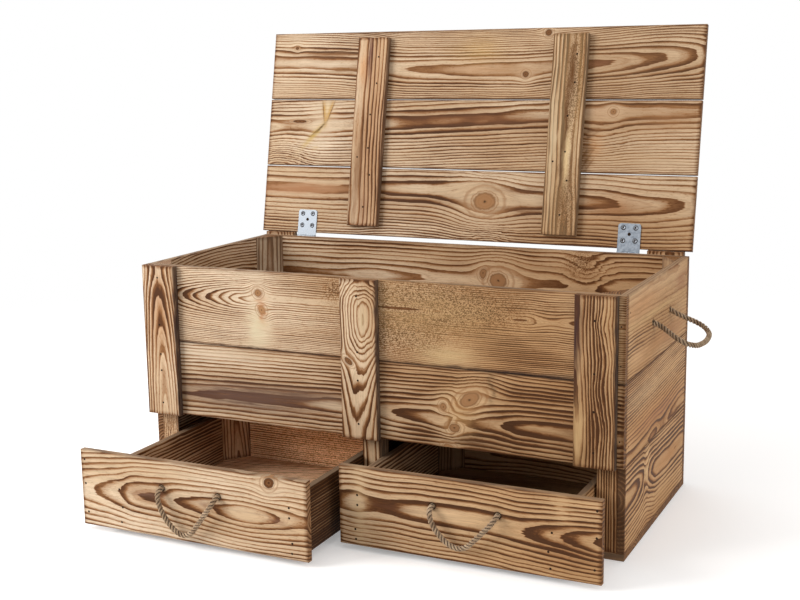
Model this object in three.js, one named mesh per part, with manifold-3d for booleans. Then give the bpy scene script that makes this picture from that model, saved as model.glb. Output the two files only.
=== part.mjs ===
// A scorched pine storage chest: hinged plank lid, a storage space, and two rope-handled drawers below it.
// Millimetres, +Z up. The origin is on the floor at the middle of the carcass. The front faces -Y.
import * as THREE from 'three';
import * as BufferGeometryUtils from 'three/addons/utils/BufferGeometryUtils.js';
import Module from 'manifold-3d';

const wasm = await Module();
wasm.setup();

// ---------------------------------------------------------------- driving dimensions
const WIDTH = 1000;            // carcass, over the side boards
const DEPTH = 472;             // carcass, over the front and back boards
const HEIGHT = 484;            // carcass, without the lid
const BOARD = 14;              // thickness of every board
const EASE = 1;                // eased edge of a sawn board
const SEAM = 1;                // dark gap between two wall boards
const LOWER_SEAM_Z = 176;      // bottom edge of the front wall, and a seam in the other walls
const UPPER_SEAM_Z = 328;

const BATTEN = 76;             // width of every batten
const FRONT_BATTEN_LEFTS = { left: -500, middle: -48, right: 412 };
const REAR_BATTEN_LEFTS = { left: -500, right: 412 };

const POST_LEG_X = 38;         // triangular corner posts: leg along the front or back wall
const POST_LEG_Y = 56;         // and leg along the side wall
const CENTRE_POST = 36;        // post between the drawers
const CENTRE_POST_DEPTH = 38;
const RUNNER_HEIGHT = 20;
const LEDGER = { thickness: 20, height: 24, bottom: 178 };

const LID_WIDTH = 1016;
const LID_CENTRE = -6;         // the lid sits a little to the left
const LID_PLANKS = { rear: 153.5, middle: 153, front: 153 };
const LID_GAP = 2.5;
const LID_BATTEN_CENTRES = { left: -247, right: 220 };
const LID_BATTEN_START = 20.5;   // from the hinged edge of the lid
const LID_BATTEN_LENGTH = 428;
const LID_OPEN = 101;          // degrees, as it stands open

const LEAF = { width: 48, height: 62, thickness: 1.5, corner: 6, hole: 2.2 };
const LEAF_HOLES = [[-13, 26], [13, 26], [-13, 53], [13, 53], [0, 39.5]];   // across, away from the pin
const BARREL_R = 3;
const PIN_R = 1.5;
const PIN_CLEARANCE = 0.3;
const KNUCKLES = 4;
const KNUCKLE_GAP = 0.7;
const HINGE_CENTRES = { left: -394, right: 371 };
const LEAF_CLEARANCE = 0.3;      // between the upper leaf and the lid's inner face
const CLOSED_CLEARANCE = 0.1;    // between the closed leaf and the rim
const HINGE_TO_LID_EDGE = 9.5;   // from the pin to the lid's hinged edge
const REAR_BATTEN_RISE = 6.35;   // the rear battens stand above the rim and stop the open lid

const DRAWER_FRONT = { width: 497, height: 150, bottom: 10, gap: 3 };
const DRAWER_BOX = { bottom: 14.5, height: 120, length: 444, outer: 443, inner: 20 };
const DRAWER_FLOOR_BOTTOM = 19;
const BLOCK_LEG_X = 40;        // corner blocks in the back of each drawer
const BLOCK_LEG_Y = 50;
const PULLED_OUT = { left: 235, right: 126 };   // as photographed

const ROPE_R = 5.25;
const ROPE_HOLE_R = 6.5;
const ROPE_SPACING_DRAWER = 124;
const ROPE_SPACING_SIDE = 131;
const DRAWER_ROPE_Z = 107;
const DRAWER_LOOP_DROP = { left: 80, right: 66 };
const SIDE_ROPE = { z: 403, y: 16 };
const SIDE_ROPE_DROOP = 27;    // degrees below level
const ROPE_SIDES = 10;
const ROPE_START = 0.6;        // the loop starts just outside the face it comes out of

// ---------------------------------------------------------------- derived places
const FRONT = -DEPTH / 2;
const BACK = DEPTH / 2;
const HALF = WIDTH / 2;
const INNER_X = HALF - BOARD;
const INNER_FRONT = FRONT + BOARD;
const INNER_BACK = BACK - BOARD;
const FLOOR_BOTTOM = LEDGER.bottom + LEDGER.height;
const PIN_Y = BACK + BARREL_R;
const PIN_Z = HEIGHT + CLOSED_CLEARANCE + LEAF.thickness + LEAF_CLEARANCE - BARREL_R;

// ---------------------------------------------------------------- finishes
const finish = (color, roughness = 0.75, metalness = 0) => () =>
  new THREE.MeshStandardMaterial({ color, roughness, metalness });
const pine = finish(0xc99a66);
const paleEnd = finish(0xd8b586);
const darkPine = finish(0x9a6a3c);
const zinc = finish(0xc6cacf, 0.35, 0.9);
const rope = finish(0x9a8465, 0.95);

const chest = new THREE.Group();

function add(parent, name, geometry, material, position = [0, 0, 0]) {
  const mesh = new THREE.Mesh(geometry, material());
  mesh.name = name;
  mesh.position.set(...position);
  parent.add(mesh);
  return mesh;
}

// ---------------------------------------------------------------- solid helpers
function toSolid(geometry) {
  const bare = geometry.index ? geometry.toNonIndexed() : geometry.clone();
  bare.deleteAttribute('normal');
  bare.deleteAttribute('uv');
  const merged = BufferGeometryUtils.mergeVertices(bare, 1e-4);
  return new wasm.Manifold(new wasm.Mesh({
    numProp: 3,
    vertProperties: new Float32Array(merged.attributes.position.array),
    triVerts: new Uint32Array(merged.index.array),
  }));
}

function toGeometry(solid) {
  const mesh = solid.getMesh();
  const geometry = new THREE.BufferGeometry();
  geometry.setAttribute('position', new THREE.BufferAttribute(new Float32Array(mesh.vertProperties), 3));
  geometry.setIndex(Array.from(mesh.triVerts));
  geometry.computeVertexNormals();
  return geometry;
}

function cylinderAlong(axis, radius, length, centre, sides = 20) {
  const geometry = new THREE.CylinderGeometry(radius, radius, length, sides);
  if (axis === 'x') geometry.rotateZ(Math.PI / 2);
  if (axis === 'z') geometry.rotateX(Math.PI / 2);
  geometry.translate(...centre);
  return geometry;
}

// An outline extruded along +Z, with its two faces' edges eased.
function slab(outline, thickness, ease = EASE) {
  return new THREE.ExtrudeGeometry(outline, {
    depth: thickness - 2 * ease,
    bevelEnabled: true,
    bevelThickness: ease,
    bevelSize: ease,
    bevelOffset: -ease,
    bevelSegments: 1,
    curveSegments: 10,
  }).translate(0, 0, ease);
}

function polygon(points) {
  return new THREE.Shape(points.map(([x, y]) => new THREE.Vector2(x, y)));
}

function boreHole(outline, x, y, radius) {
  const hole = new THREE.Path();
  hole.absarc(x, y, radius, 0, 2 * Math.PI, true);
  outline.holes.push(hole);
}

function rectangle(x0, y0, x1, y1) {
  return polygon([[x0, y0], [x1, y0], [x1, y1], [x0, y1]]);
}

// A board lying flat, standing across X (its face towards Y), or standing along Y (its face towards X).
function flatBoard(outline, z, thickness = BOARD) {
  return slab(outline, thickness).translate(0, 0, z);
}

function wallBoard(outline, y) {
  return slab(outline, BOARD).rotateX(Math.PI / 2).translate(0, y + BOARD, 0);
}

function sideBoard(outline, x) {
  // the outline is drawn in Y and Z
  return slab(outline, BOARD).rotateX(Math.PI / 2).rotateZ(Math.PI / 2).translate(x, 0, 0);
}

function upright(corners, bottom, top) {
  return slab(polygon(corners), top - bottom, 0.6).translate(0, 0, bottom);
}

// ---------------------------------------------------------------- carcass
const WALL_COURSES = [
  ['lower', BOARD, LOWER_SEAM_Z - SEAM / 2],
  ['middle', LOWER_SEAM_Z + SEAM / 2, UPPER_SEAM_Z - SEAM / 2],
  ['upper', UPPER_SEAM_Z + SEAM / 2, HEIGHT],
];

function buildWalls() {
  for (const [course, z0, z1] of WALL_COURSES) {
    for (const [side, x] of [['left', -HALF], ['right', INNER_X]]) {
      const outline = rectangle(INNER_FRONT, z0, INNER_BACK, z1);
      if (course === 'upper') {
        for (const end of [-1, 1]) {
          boreHole(outline, SIDE_ROPE.y + end * ROPE_SPACING_SIDE / 2, SIDE_ROPE.z, ROPE_HOLE_R);
        }
      }
      add(chest, `side_${side}_board_${course}`, sideBoard(outline, x), pine);
    }
    add(chest, `back_board_${course}`, wallBoard(rectangle(-HALF, z0, HALF, z1), INNER_BACK), pine);
    if (course !== 'lower') {
      const bottom = course === 'middle' ? LOWER_SEAM_Z : z0;
      add(chest, `front_board_${course}`, wallBoard(rectangle(-HALF, bottom, HALF, z1), FRONT), pine);
    }
  }
}

function buildBottom() {
  const names = ['front', 'middle', 'rear'];
  const depth = (BACK - INNER_FRONT - SEAM * 2) / names.length;
  names.forEach((name, i) => {
    const y0 = INNER_FRONT + i * (depth + SEAM);
    add(chest, `bottom_plank_${name}`, flatBoard(rectangle(-HALF, y0, HALF, y0 + depth), 0), darkPine);
  });
}

function buildBattens() {
  for (const [name, x] of Object.entries(FRONT_BATTEN_LEFTS)) {
    const outline = rectangle(x, LOWER_SEAM_Z - 1, x + BATTEN, HEIGHT);
    add(chest, `front_batten_${name}`, wallBoard(outline, FRONT - BOARD), pine);
  }
  for (const [name, x] of Object.entries(REAR_BATTEN_LEFTS)) {
    const outline = rectangle(x, BOARD, x + BATTEN, HEIGHT + REAR_BATTEN_RISE);
    add(chest, `rear_batten_${name}`, wallBoard(outline, BACK), pine);
  }
}

function triangle(cornerX, cornerY, legX, legY) {
  const corners = [[cornerX, cornerY], [cornerX + legX, cornerY], [cornerX, cornerY + legY]];
  return legX * legY > 0 ? corners : corners.reverse();
}

function buildPosts() {
  for (const [side, sx] of [['left', -1], ['right', 1]]) {
    for (const [end, y, sy] of [['front', INNER_FRONT, 1], ['rear', INNER_BACK, -1]]) {
      const corners = triangle(sx * INNER_X, y, -sx * POST_LEG_X, sy * POST_LEG_Y);
      add(chest, `corner_post_${end}_${side}`, upright(corners, BOARD, HEIGHT), pine);
    }
  }
  const halfPost = CENTRE_POST / 2;
  const centre = [
    [-halfPost, INNER_FRONT], [halfPost, INNER_FRONT],
    [halfPost, INNER_FRONT + CENTRE_POST_DEPTH], [-halfPost, INNER_FRONT + CENTRE_POST_DEPTH],
  ];
  add(chest, 'centre_post', upright(centre, BOARD, FLOOR_BOTTOM), darkPine);
}

function buildFloorAndGuides() {
  const runner = rectangle(-CENTRE_POST / 2, INNER_FRONT + CENTRE_POST_DEPTH, CENTRE_POST / 2, INNER_BACK);
  add(chest, 'centre_runner', flatBoard(runner, BOARD, RUNNER_HEIGHT), darkPine);
  for (const [side, x0] of [['left', -INNER_X], ['right', INNER_X - LEDGER.thickness]]) {
    const outline = rectangle(x0, INNER_FRONT + POST_LEG_Y + 1, x0 + LEDGER.thickness, INNER_BACK - POST_LEG_Y - 1);
    add(chest, `floor_ledger_${side}`, flatBoard(outline, LEDGER.bottom, LEDGER.height), darkPine);
  }
  const depth = (INNER_BACK - INNER_FRONT - 2 * SEAM) / 3;
  const notchX = INNER_X - POST_LEG_X - 1;
  const notchY = POST_LEG_Y + 1;
  const front = INNER_FRONT;
  const rear = INNER_BACK;
  const plans = {
    front: [
      [-notchX, front], [notchX, front], [INNER_X, front + notchY],
      [INNER_X, front + depth], [-INNER_X, front + depth], [-INNER_X, front + notchY],
    ],
    middle: [
      [-INNER_X, front + depth + SEAM], [INNER_X, front + depth + SEAM],
      [INNER_X, rear - depth - SEAM], [-INNER_X, rear - depth - SEAM],
    ],
    rear: [
      [-INNER_X, rear - depth], [INNER_X, rear - depth], [INNER_X, rear - notchY],
      [notchX, rear], [-notchX, rear], [-INNER_X, rear - notchY],
    ],
  };
  for (const [name, points] of Object.entries(plans)) {
    add(chest, `floor_plank_${name}`, flatBoard(polygon(points), FLOOR_BOTTOM), pine);
  }
}

// ---------------------------------------------------------------- lid and hinges
// The lid is drawn lying closed, its inner face down at z = 0 and the pin on the line y = 0 below it,
// then the whole leaf-and-lid group is stood open about the pin.
function buildLid() {
  const lid = new THREE.Group();
  lid.position.set(0, PIN_Y, PIN_Z);
  lid.rotation.x = -THREE.MathUtils.degToRad(LID_OPEN);
  chest.add(lid);
  let edge = -HINGE_TO_LID_EDGE;
  for (const [name, width] of Object.entries(LID_PLANKS)) {
    const outline = rectangle(LID_CENTRE - LID_WIDTH / 2, edge - width, LID_CENTRE + LID_WIDTH / 2, edge);
    add(lid, `lid_plank_${name}`, flatBoard(outline, BARREL_R), pine);
    edge -= width + LID_GAP;
  }
  for (const [name, x] of Object.entries(LID_BATTEN_CENTRES)) {
    const y1 = -HINGE_TO_LID_EDGE - LID_BATTEN_START;
    const outline = rectangle(x - BATTEN / 2, y1 - LID_BATTEN_LENGTH, x + BATTEN / 2, y1);
    add(lid, `lid_batten_${name}`, flatBoard(outline, BARREL_R - BOARD - LEAF_CLEARANCE), pine);
  }
  for (const [name, x] of Object.entries(HINGE_CENTRES)) {
    const leaf = hingeLeaf(BARREL_R - LEAF_CLEARANCE, 0);
    leaf.translate(x, 0, 0);
    add(lid, `hinge_${name}_upper_leaf`, leaf, zinc);
  }
}

// One leaf with its knuckles round the pin (along X at the origin), its plate reaching along -Y with its
// back face at the given z. first = 0 gives the even knuckles, first = 1 the odd ones.
function hingeLeaf(backZ, first) {
  const height = LEAF.height;
  const half = LEAF.width / 2;
  const r = LEAF.corner;
  const plate = new THREE.Shape();
  plate.moveTo(-half, 0);
  plate.lineTo(-half, -height + r);
  plate.absarc(-half + r, -height + r, r, Math.PI, 1.5 * Math.PI, false);
  plate.lineTo(half - r, -height);
  plate.absarc(half - r, -height + r, r, 1.5 * Math.PI, 2 * Math.PI, false);
  plate.lineTo(half, 0);
  plate.closePath();
  for (const [across, away] of LEAF_HOLES) {
    boreHole(plate, across, -away, LEAF.hole);
  }
  const sheet = new THREE.ExtrudeGeometry(plate, { depth: LEAF.thickness, bevelEnabled: false, curveSegments: 6 });
  sheet.translate(0, 0, backZ - LEAF.thickness);
  let solid = toSolid(sheet);
  const pitch = LEAF.width / KNUCKLES;
  for (let k = 0; k < KNUCKLES; k += 1) {
    const centre = [-half + (k + 0.5) * pitch, 0, 0];
    if (k % 2 === first) {
      solid = solid.add(toSolid(cylinderAlong('x', BARREL_R, pitch - KNUCKLE_GAP, centre, 24)));
    } else {
      solid = solid.subtract(toSolid(cylinderAlong('x', BARREL_R + KNUCKLE_GAP, pitch + KNUCKLE_GAP, centre, 24)));
    }
  }
  return toGeometry(solid.subtract(toSolid(cylinderAlong('x', PIN_R + PIN_CLEARANCE, LEAF.width + 2, [0, 0, 0], 24))));
}

function buildLowerHinges() {
  for (const [name, x] of Object.entries(HINGE_CENTRES)) {
    // the lower leaf hangs down the back wall: turned so that its back faces the wall
    const leaf = hingeLeaf(BARREL_R, 1);
    leaf.rotateX(Math.PI / 2);
    leaf.translate(x, PIN_Y, PIN_Z);
    add(chest, `hinge_${name}_lower_leaf`, leaf, zinc);
    const pin = cylinderAlong('x', PIN_R, LEAF.width + 1, [x, PIN_Y, PIN_Z], 16);
    add(chest, `hinge_${name}_pin`, pin, zinc);
  }
}

// ---------------------------------------------------------------- drawers
function buildDrawer(side) {
  const sx = side === 'left' ? -1 : 1;
  const drawer = new THREE.Group();
  drawer.position.y = -PULLED_OUT[side];
  chest.add(drawer);
  const name = (piece) => `drawer_${side}_${piece}`;
  const spanX = (a, b) => [Math.min(sx * a, sx * b), Math.max(sx * a, sx * b)];

  const [fx0, fx1] = spanX(DRAWER_FRONT.gap, HALF);
  const face = rectangle(fx0, DRAWER_FRONT.bottom, fx1, DRAWER_FRONT.bottom + DRAWER_FRONT.height);
  const holeCentre = (fx0 + fx1) / 2;
  for (const end of [-1, 1]) {
    boreHole(face, holeCentre + end * ROPE_SPACING_DRAWER / 2, DRAWER_ROPE_Z, ROPE_HOLE_R);
  }
  add(drawer, name('front'), wallBoard(face, FRONT), pine);

  const boxFront = INNER_FRONT;
  const boxRear = FRONT + DRAWER_BOX.length;
  const top = DRAWER_BOX.bottom + DRAWER_BOX.height;
  const [bx0, bx1] = spanX(DRAWER_BOX.inner, DRAWER_BOX.outer);
  const cheek = rectangle(boxFront, DRAWER_BOX.bottom, boxRear, top);
  add(drawer, name('side_left'), sideBoard(cheek, bx0), pine);
  add(drawer, name('side_right'), sideBoard(cheek, bx1 - BOARD), pine);
  const inner0 = bx0 + BOARD;
  const inner1 = bx1 - BOARD;
  add(drawer, name('back'), wallBoard(rectangle(inner0, DRAWER_BOX.bottom, inner1, top), boxRear - BOARD), pine);
  const floor = rectangle(inner0, boxFront, inner1, boxRear - BOARD);
  add(drawer, name('bottom'), flatBoard(floor, DRAWER_FLOOR_BOTTOM), pine);
  for (const [end, x, leg] of [['left', inner0, BLOCK_LEG_X], ['right', inner1, -BLOCK_LEG_X]]) {
    const corners = triangle(x, boxRear - BOARD, leg, -BLOCK_LEG_Y);
    add(drawer, name(`corner_block_${end}`), upright(corners, DRAWER_FLOOR_BOTTOM + BOARD, top), pine);
  }
  return { drawer, holeCentre };
}

// ---------------------------------------------------------------- ropes
// Each loop from its left hole to its right one, as (along the wall in half spacings, out from the wall, down).
const drawerLoopPoints = (drop) => [
  [-1, 0, 0], [-1, 7, 0.015], [-0.995, 13, 0.07], [-0.97, 16.5, 0.18], [-0.9, 17, 0.38], [-0.76, 16, 0.6],
  [-0.55, 14.5, 0.82], [-0.32, 13.5, 0.96], [-0.1, 13, 1], [0.12, 13.5, 0.93], [0.38, 15, 0.7],
  [0.66, 16.5, 0.42], [0.87, 16, 0.2], [0.97, 12.5, 0.07], [1, 7, 0.015], [1, 0, 0],
].map(([along, out, down]) => [along, out, down * drop]);
const SIDE_LOOP_HALF = [
  [1, 0, 0], [0.96, 14, 0], [1.06, 34, 0], [1.2, 56, 0], [1.18, 72, 0], [0.86, 87, 0], [0.42, 92.5, 0],
];
const sideLoopPoints = [
  ...SIDE_LOOP_HALF.map(([along, out, down]) => [-along, out, down]),
  [0, 94, 0],
  ...SIDE_LOOP_HALF.slice().reverse(),
];

function loopCurve(points, spacing) {
  const scale = spacing / 2;
  const line = points.map(([along, out, down]) => new THREE.Vector3(along * scale, -out, -down));
  line[0].y = -ROPE_START;
  line[line.length - 1].y = -ROPE_START;
  return new THREE.CatmullRomCurve3(line, false, 'centripetal');
}

function ropeLoop(points, spacing) {
  const curve = loopCurve(points, spacing);
  const section = new THREE.Shape();
  for (let i = 0; i < ROPE_SIDES; i += 1) {
    const a = (2 * Math.PI * i) / ROPE_SIDES;
    const point = [ROPE_R * Math.cos(a), ROPE_R * Math.sin(a)];
    if (i === 0) section.moveTo(...point);
    else section.lineTo(...point);
  }
  const steps = Math.round(curve.getLength() / (2 * ROPE_R * 0.9));
  return new THREE.ExtrudeGeometry(section, { steps, bevelEnabled: false, extrudePath: curve });
}

function buildRopes(drawers) {
  for (const [side, { drawer, holeCentre }] of Object.entries(drawers)) {
    const loop = ropeLoop(drawerLoopPoints(DRAWER_LOOP_DROP[side]), ROPE_SPACING_DRAWER);
    add(drawer, `drawer_${side}_rope`, loop, rope, [holeCentre, FRONT, DRAWER_ROPE_Z]);
  }
  for (const [side, sx] of [['left', -1], ['right', 1]]) {
    const mesh = add(chest, `side_${side}_rope`, ropeLoop(sideLoopPoints, ROPE_SPACING_SIDE), rope,
      [sx * HALF, SIDE_ROPE.y, SIDE_ROPE.z]);
    // drawn standing straight out along -Y, then turned to the side and let down
    mesh.rotation.set(THREE.MathUtils.degToRad(SIDE_ROPE_DROOP), 0, sx * Math.PI / 2, 'ZXY');
  }
}

buildWalls();
buildBottom();
buildBattens();
buildPosts();
buildFloorAndGuides();
buildLid();
buildLowerHinges();
buildRopes({ left: buildDrawer('left'), right: buildDrawer('right') });

export default chest;
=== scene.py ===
import math
import random
import bpy
from mathutils import Matrix, Vector


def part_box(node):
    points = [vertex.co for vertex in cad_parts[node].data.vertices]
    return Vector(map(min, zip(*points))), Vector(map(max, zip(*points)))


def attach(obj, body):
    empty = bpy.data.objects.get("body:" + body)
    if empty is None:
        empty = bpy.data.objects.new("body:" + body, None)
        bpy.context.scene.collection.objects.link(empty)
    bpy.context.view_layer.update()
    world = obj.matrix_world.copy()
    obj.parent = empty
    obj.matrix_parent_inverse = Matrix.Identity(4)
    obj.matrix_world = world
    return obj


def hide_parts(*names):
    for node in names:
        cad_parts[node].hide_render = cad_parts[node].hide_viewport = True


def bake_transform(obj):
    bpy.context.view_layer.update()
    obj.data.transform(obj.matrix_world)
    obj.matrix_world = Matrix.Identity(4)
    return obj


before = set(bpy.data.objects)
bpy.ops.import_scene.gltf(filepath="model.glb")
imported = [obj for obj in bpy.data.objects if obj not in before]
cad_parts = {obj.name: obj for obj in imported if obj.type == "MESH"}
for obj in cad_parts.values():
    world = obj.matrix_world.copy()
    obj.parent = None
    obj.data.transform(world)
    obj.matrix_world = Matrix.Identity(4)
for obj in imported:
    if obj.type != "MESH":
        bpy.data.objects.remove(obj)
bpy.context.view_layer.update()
scene = bpy.context.scene

# ------------------------------------------------------------------ driving dimensions (metres)
WIDTH, DEPTH, BOARD = 1.0, 0.472, 0.014
FRONT = -DEPTH / 2
PIN = Vector((0, 0.239, 0.4829))
LID_OPEN = math.radians(101)
X, Y, Z = Vector((1, 0, 0)), Vector((0, 1, 0)), Vector((0, 0, 1))
LID_UP = -Y * math.cos(LID_OPEN) + Z * math.sin(LID_OPEN)
LID_OUT = -Y * math.sin(LID_OPEN) - Z * math.cos(LID_OPEN)
LID_BATTEN_LENGTH = 0.428
PULLED_OUT = {"left": 0.235, "right": 0.126}
DRAWER_HOLE_X = {"left": -0.2515, "right": 0.2515}
ROPE_R = 0.00525

# ------------------------------------------------------------------ camera, solved from the board corners
IMAGE_WIDTH, IMAGE_HEIGHT, SENSOR = 800, 600, 36
CAMERA_PLACE = Vector((1.07187, -2.33031, 0.89158))
YAW, PITCH, ROLL = 0.44679, 0.18266, 0.01505
FOCAL_PX, CENTRE_PX = 1276.86, (397.99, 292.32)


def make_camera():
    right = Vector((math.cos(YAW), math.sin(YAW), 0))
    level = Vector((-math.sin(YAW), math.cos(YAW), 0))
    ahead = level * math.cos(PITCH) - Z * math.sin(PITCH)
    down = -right.cross(ahead)
    right_r = math.cos(ROLL) * right + math.sin(ROLL) * down
    down_r = -math.sin(ROLL) * right + math.cos(ROLL) * down
    rows = Matrix((right_r, -down_r, -ahead)).transposed().to_4x4()
    data = bpy.data.cameras.new("camera")
    data.sensor_width = SENSOR
    data.lens = FOCAL_PX / IMAGE_WIDTH * SENSOR
    data.shift_x = (IMAGE_WIDTH / 2 - CENTRE_PX[0]) / IMAGE_WIDTH
    data.shift_y = (CENTRE_PX[1] - IMAGE_HEIGHT / 2) / IMAGE_WIDTH
    camera = bpy.data.objects.new("camera", data)
    camera.matrix_world = Matrix.Translation(CAMERA_PLACE) @ rows
    scene.collection.objects.link(camera)
    scene.camera = camera


make_camera()


def add_mesh(name, verts, faces, material=None):
    mesh = bpy.data.meshes.new(name)
    mesh.from_pydata(verts, [], faces)
    if material:
        mesh.materials.append(material)
    made = bpy.data.objects.new(name, mesh)
    scene.collection.objects.link(made)
    return made


# ------------------------------------------------------------------ ropes
# Each handle is one laid rope: a knot behind the board, through a hole, the loop, the other hole and knot.
# Loop points are (along the wall in half spacings, out from the wall in millimetres, down in drops).
DRAWER_LOOP = [
    (-1, 0, 0), (-1, 7, 0.015), (-0.995, 13, 0.07), (-0.97, 16.5, 0.18), (-0.9, 17, 0.38), (-0.76, 16, 0.6),
    (-0.55, 14.5, 0.82), (-0.32, 13.5, 0.96), (-0.1, 13, 1), (0.12, 13.5, 0.93), (0.38, 15, 0.7),
    (0.66, 16.5, 0.42), (0.87, 16, 0.2), (0.97, 12.5, 0.07), (1, 7, 0.015), (1, 0, 0),
]
SIDE_HALF = [
    (1, 0, 0), (0.96, 14, 0), (1.06, 34, 0), (1.2, 56, 0), (1.18, 72, 0), (0.86, 87, 0), (0.42, 92.5, 0),
]
SIDE_LOOP = [(-a, o, d) for a, o, d in SIDE_HALF] + [(0, 94, 0)] + SIDE_HALF[::-1]
DROP = {"left": 0.080, "right": 0.066}
DRAWER_SPACING, SIDE_SPACING, SIDE_DROOP = 0.124, 0.131, math.radians(27)
DRAWER_ROPE_Z, SIDE_ROPE_Z, SIDE_ROPE_Y = 0.107, 0.403, 0.016
LAY_LENGTH, STRANDS, STRAND_SIDES, STRAND_BULGE = 0.022, 3, 12, 1.12
STRAND_R = ROPE_R * 0.475
LINE_STEP, KNOT_STEP = 0.0022, 0.0026
LEAST_OUT = 0.6   # millimetres that a loop's ends stand clear of the wall
# A knot behind the board, in metres: (inward, sideways) on the way to its turns, the turns from the deepest
# one back to the board, and (onward, sideways, inward) from their end to the rope's.
KNOT_WAY_IN = [(0.006, 0), (0.020, 0), (0.031, 0.003), (0.034, 0.0095)]
KNOT_TURNS, KNOT_POINTS, KNOT_DEEPEST, KNOT_LENGTH, KNOT_START = 2, 14, 0.0285, 0.0195, 0.0002
KNOT_TAIL = [(0.010, 0.004, 0.001), (0.024, 0.012, 0.004)]


def smooth_line(points, step=LINE_STEP):
    """A centripetal Catmull-Rom line through the points, sampled about every step."""
    points = [Vector(p) for p in points]
    padded = [2 * points[0] - points[1]] + points + [2 * points[-1] - points[-2]]
    line = []
    for a, b, c, d in zip(padded, padded[1:], padded[2:], padded[3:]):
        t0 = 0.0
        t1 = t0 + max((b - a).length, 1e-6) ** 0.5
        t2 = t1 + max((c - b).length, 1e-6) ** 0.5
        t3 = t2 + max((d - c).length, 1e-6) ** 0.5
        count = max(2, round((c - b).length / step))
        for k in range(count):
            t = t1 + (t2 - t1) * k / count
            a1 = (t1 - t) / (t1 - t0) * a + (t - t0) / (t1 - t0) * b
            a2 = (t2 - t) / (t2 - t1) * b + (t - t1) / (t2 - t1) * c
            a3 = (t3 - t) / (t3 - t2) * c + (t - t2) / (t3 - t2) * d
            b1 = (t2 - t) / (t2 - t0) * a1 + (t - t0) / (t2 - t0) * a2
            b2 = (t3 - t) / (t3 - t1) * a2 + (t - t1) / (t3 - t1) * a3
            line.append((t2 - t) / (t2 - t1) * b1 + (t - t1) / (t2 - t1) * b2)
    return line + [padded[-2]]


def frames_along(line):
    """(point, side, up, distance walked) at each point, turning as little as possible."""
    ends = len(line) - 1
    tangents = [(line[min(k + 1, ends)] - line[max(k - 1, 0)]).normalized() for k in range(len(line))]
    side = tangents[0].orthogonal().normalized()
    walked = 0.0
    rings = []
    for k, (point, ahead) in enumerate(zip(line, tangents)):
        side = (side - ahead * side.dot(ahead)).normalized()
        up = ahead.cross(side)
        if k:
            walked += (point - line[k - 1]).length
        rings.append((point, side.copy(), up, walked))
    return rings


def laid_rope(name, line):
    """Strands twisted round the line, each a tube that bulges a little, all in one mesh."""
    rings, sides = frames_along(line), STRAND_SIDES
    verts, faces = [], []
    for strand in range(STRANDS):
        first = len(verts)
        for point, side, up, walked in rings:
            angle = 2 * math.pi * (walked / LAY_LENGTH + strand / STRANDS)
            out = math.cos(angle) * side + math.sin(angle) * up
            around = -math.sin(angle) * side + math.cos(angle) * up
            centre = point + out * (ROPE_R - STRAND_R)
            for c in range(sides):
                a = 2 * math.pi * c / sides
                flat = out * math.cos(a) + around * math.sin(a) * STRAND_BULGE
                verts.append(centre + flat * STRAND_R)
        for k in range(len(rings) - 1):
            for c in range(sides):
                a, b = first + k * sides + c, first + k * sides + (c + 1) % sides
                faces.append((a, b, b + sides, a + sides))
        last = first + (len(rings) - 1) * sides
        faces.append(tuple(first + c for c in reversed(range(sides))))
        faces.append(tuple(last + c for c in range(sides)))
    rope = add_mesh(name, verts, faces)
    mesh = rope.data
    uv = mesh.uv_layers.new(name="lay")
    for polygon in mesh.polygons:
        polygon.use_smooth = True
        places = [mesh.loops[loop].vertex_index for loop in polygon.loop_indices]
        closing = {0, sides - 1} == {place % sides for place in places}
        for loop, place in zip(polygon.loop_indices, places):
            column = place % sides or (sides if closing else 0)
            uv.data[loop].uv = (rings[place // sides % len(rings)][3], column / sides)
    return rope


def knot_line(mouth, inward, sideways):
    """From the loop's side of a hole through the board, two tight turns round itself, and a short end."""
    inward, sideways = inward.normalized(), sideways.normalized()
    third = inward.cross(sideways)
    coil = ROPE_R * 2 * 1.04   # turns just clear of the rope they go round
    back = mouth + inward * BOARD
    points = [mouth, mouth + inward * BOARD / 2]
    points += [back + inward * deep + sideways * off for deep, off in KNOT_WAY_IN]
    for k in range(1, KNOT_POINTS + 1):
        angle = 2 * math.pi * KNOT_TURNS * k / KNOT_POINTS
        deep = KNOT_DEEPEST - k / KNOT_POINTS * KNOT_LENGTH
        around = sideways * math.cos(angle) + third * math.sin(angle)
        points.append(back + inward * deep + around * coil)
    tip = points[-1]
    points += [tip + third * on + sideways * off + inward * deep for on, off, deep in KNOT_TAIL]
    return smooth_line(points, KNOT_STEP)


def make_handle(tag, node, base_body, points, mouths, inward):
    line = smooth_line(points)
    rope = laid_rope("rope_" + tag, line)
    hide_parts(node)
    out = -inward
    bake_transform(rope)
    pieces = []
    for end, mouth, other in (("a", *mouths), ("b", *reversed(mouths))):
        route = knot_line(mouth + out * KNOT_START, inward, other - mouth)
        tail = laid_rope(f"rope_{tag}_knot_{end}", route)
        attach(tail, base_body)
        pieces.append(tail)
    return [rope] + pieces


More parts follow.
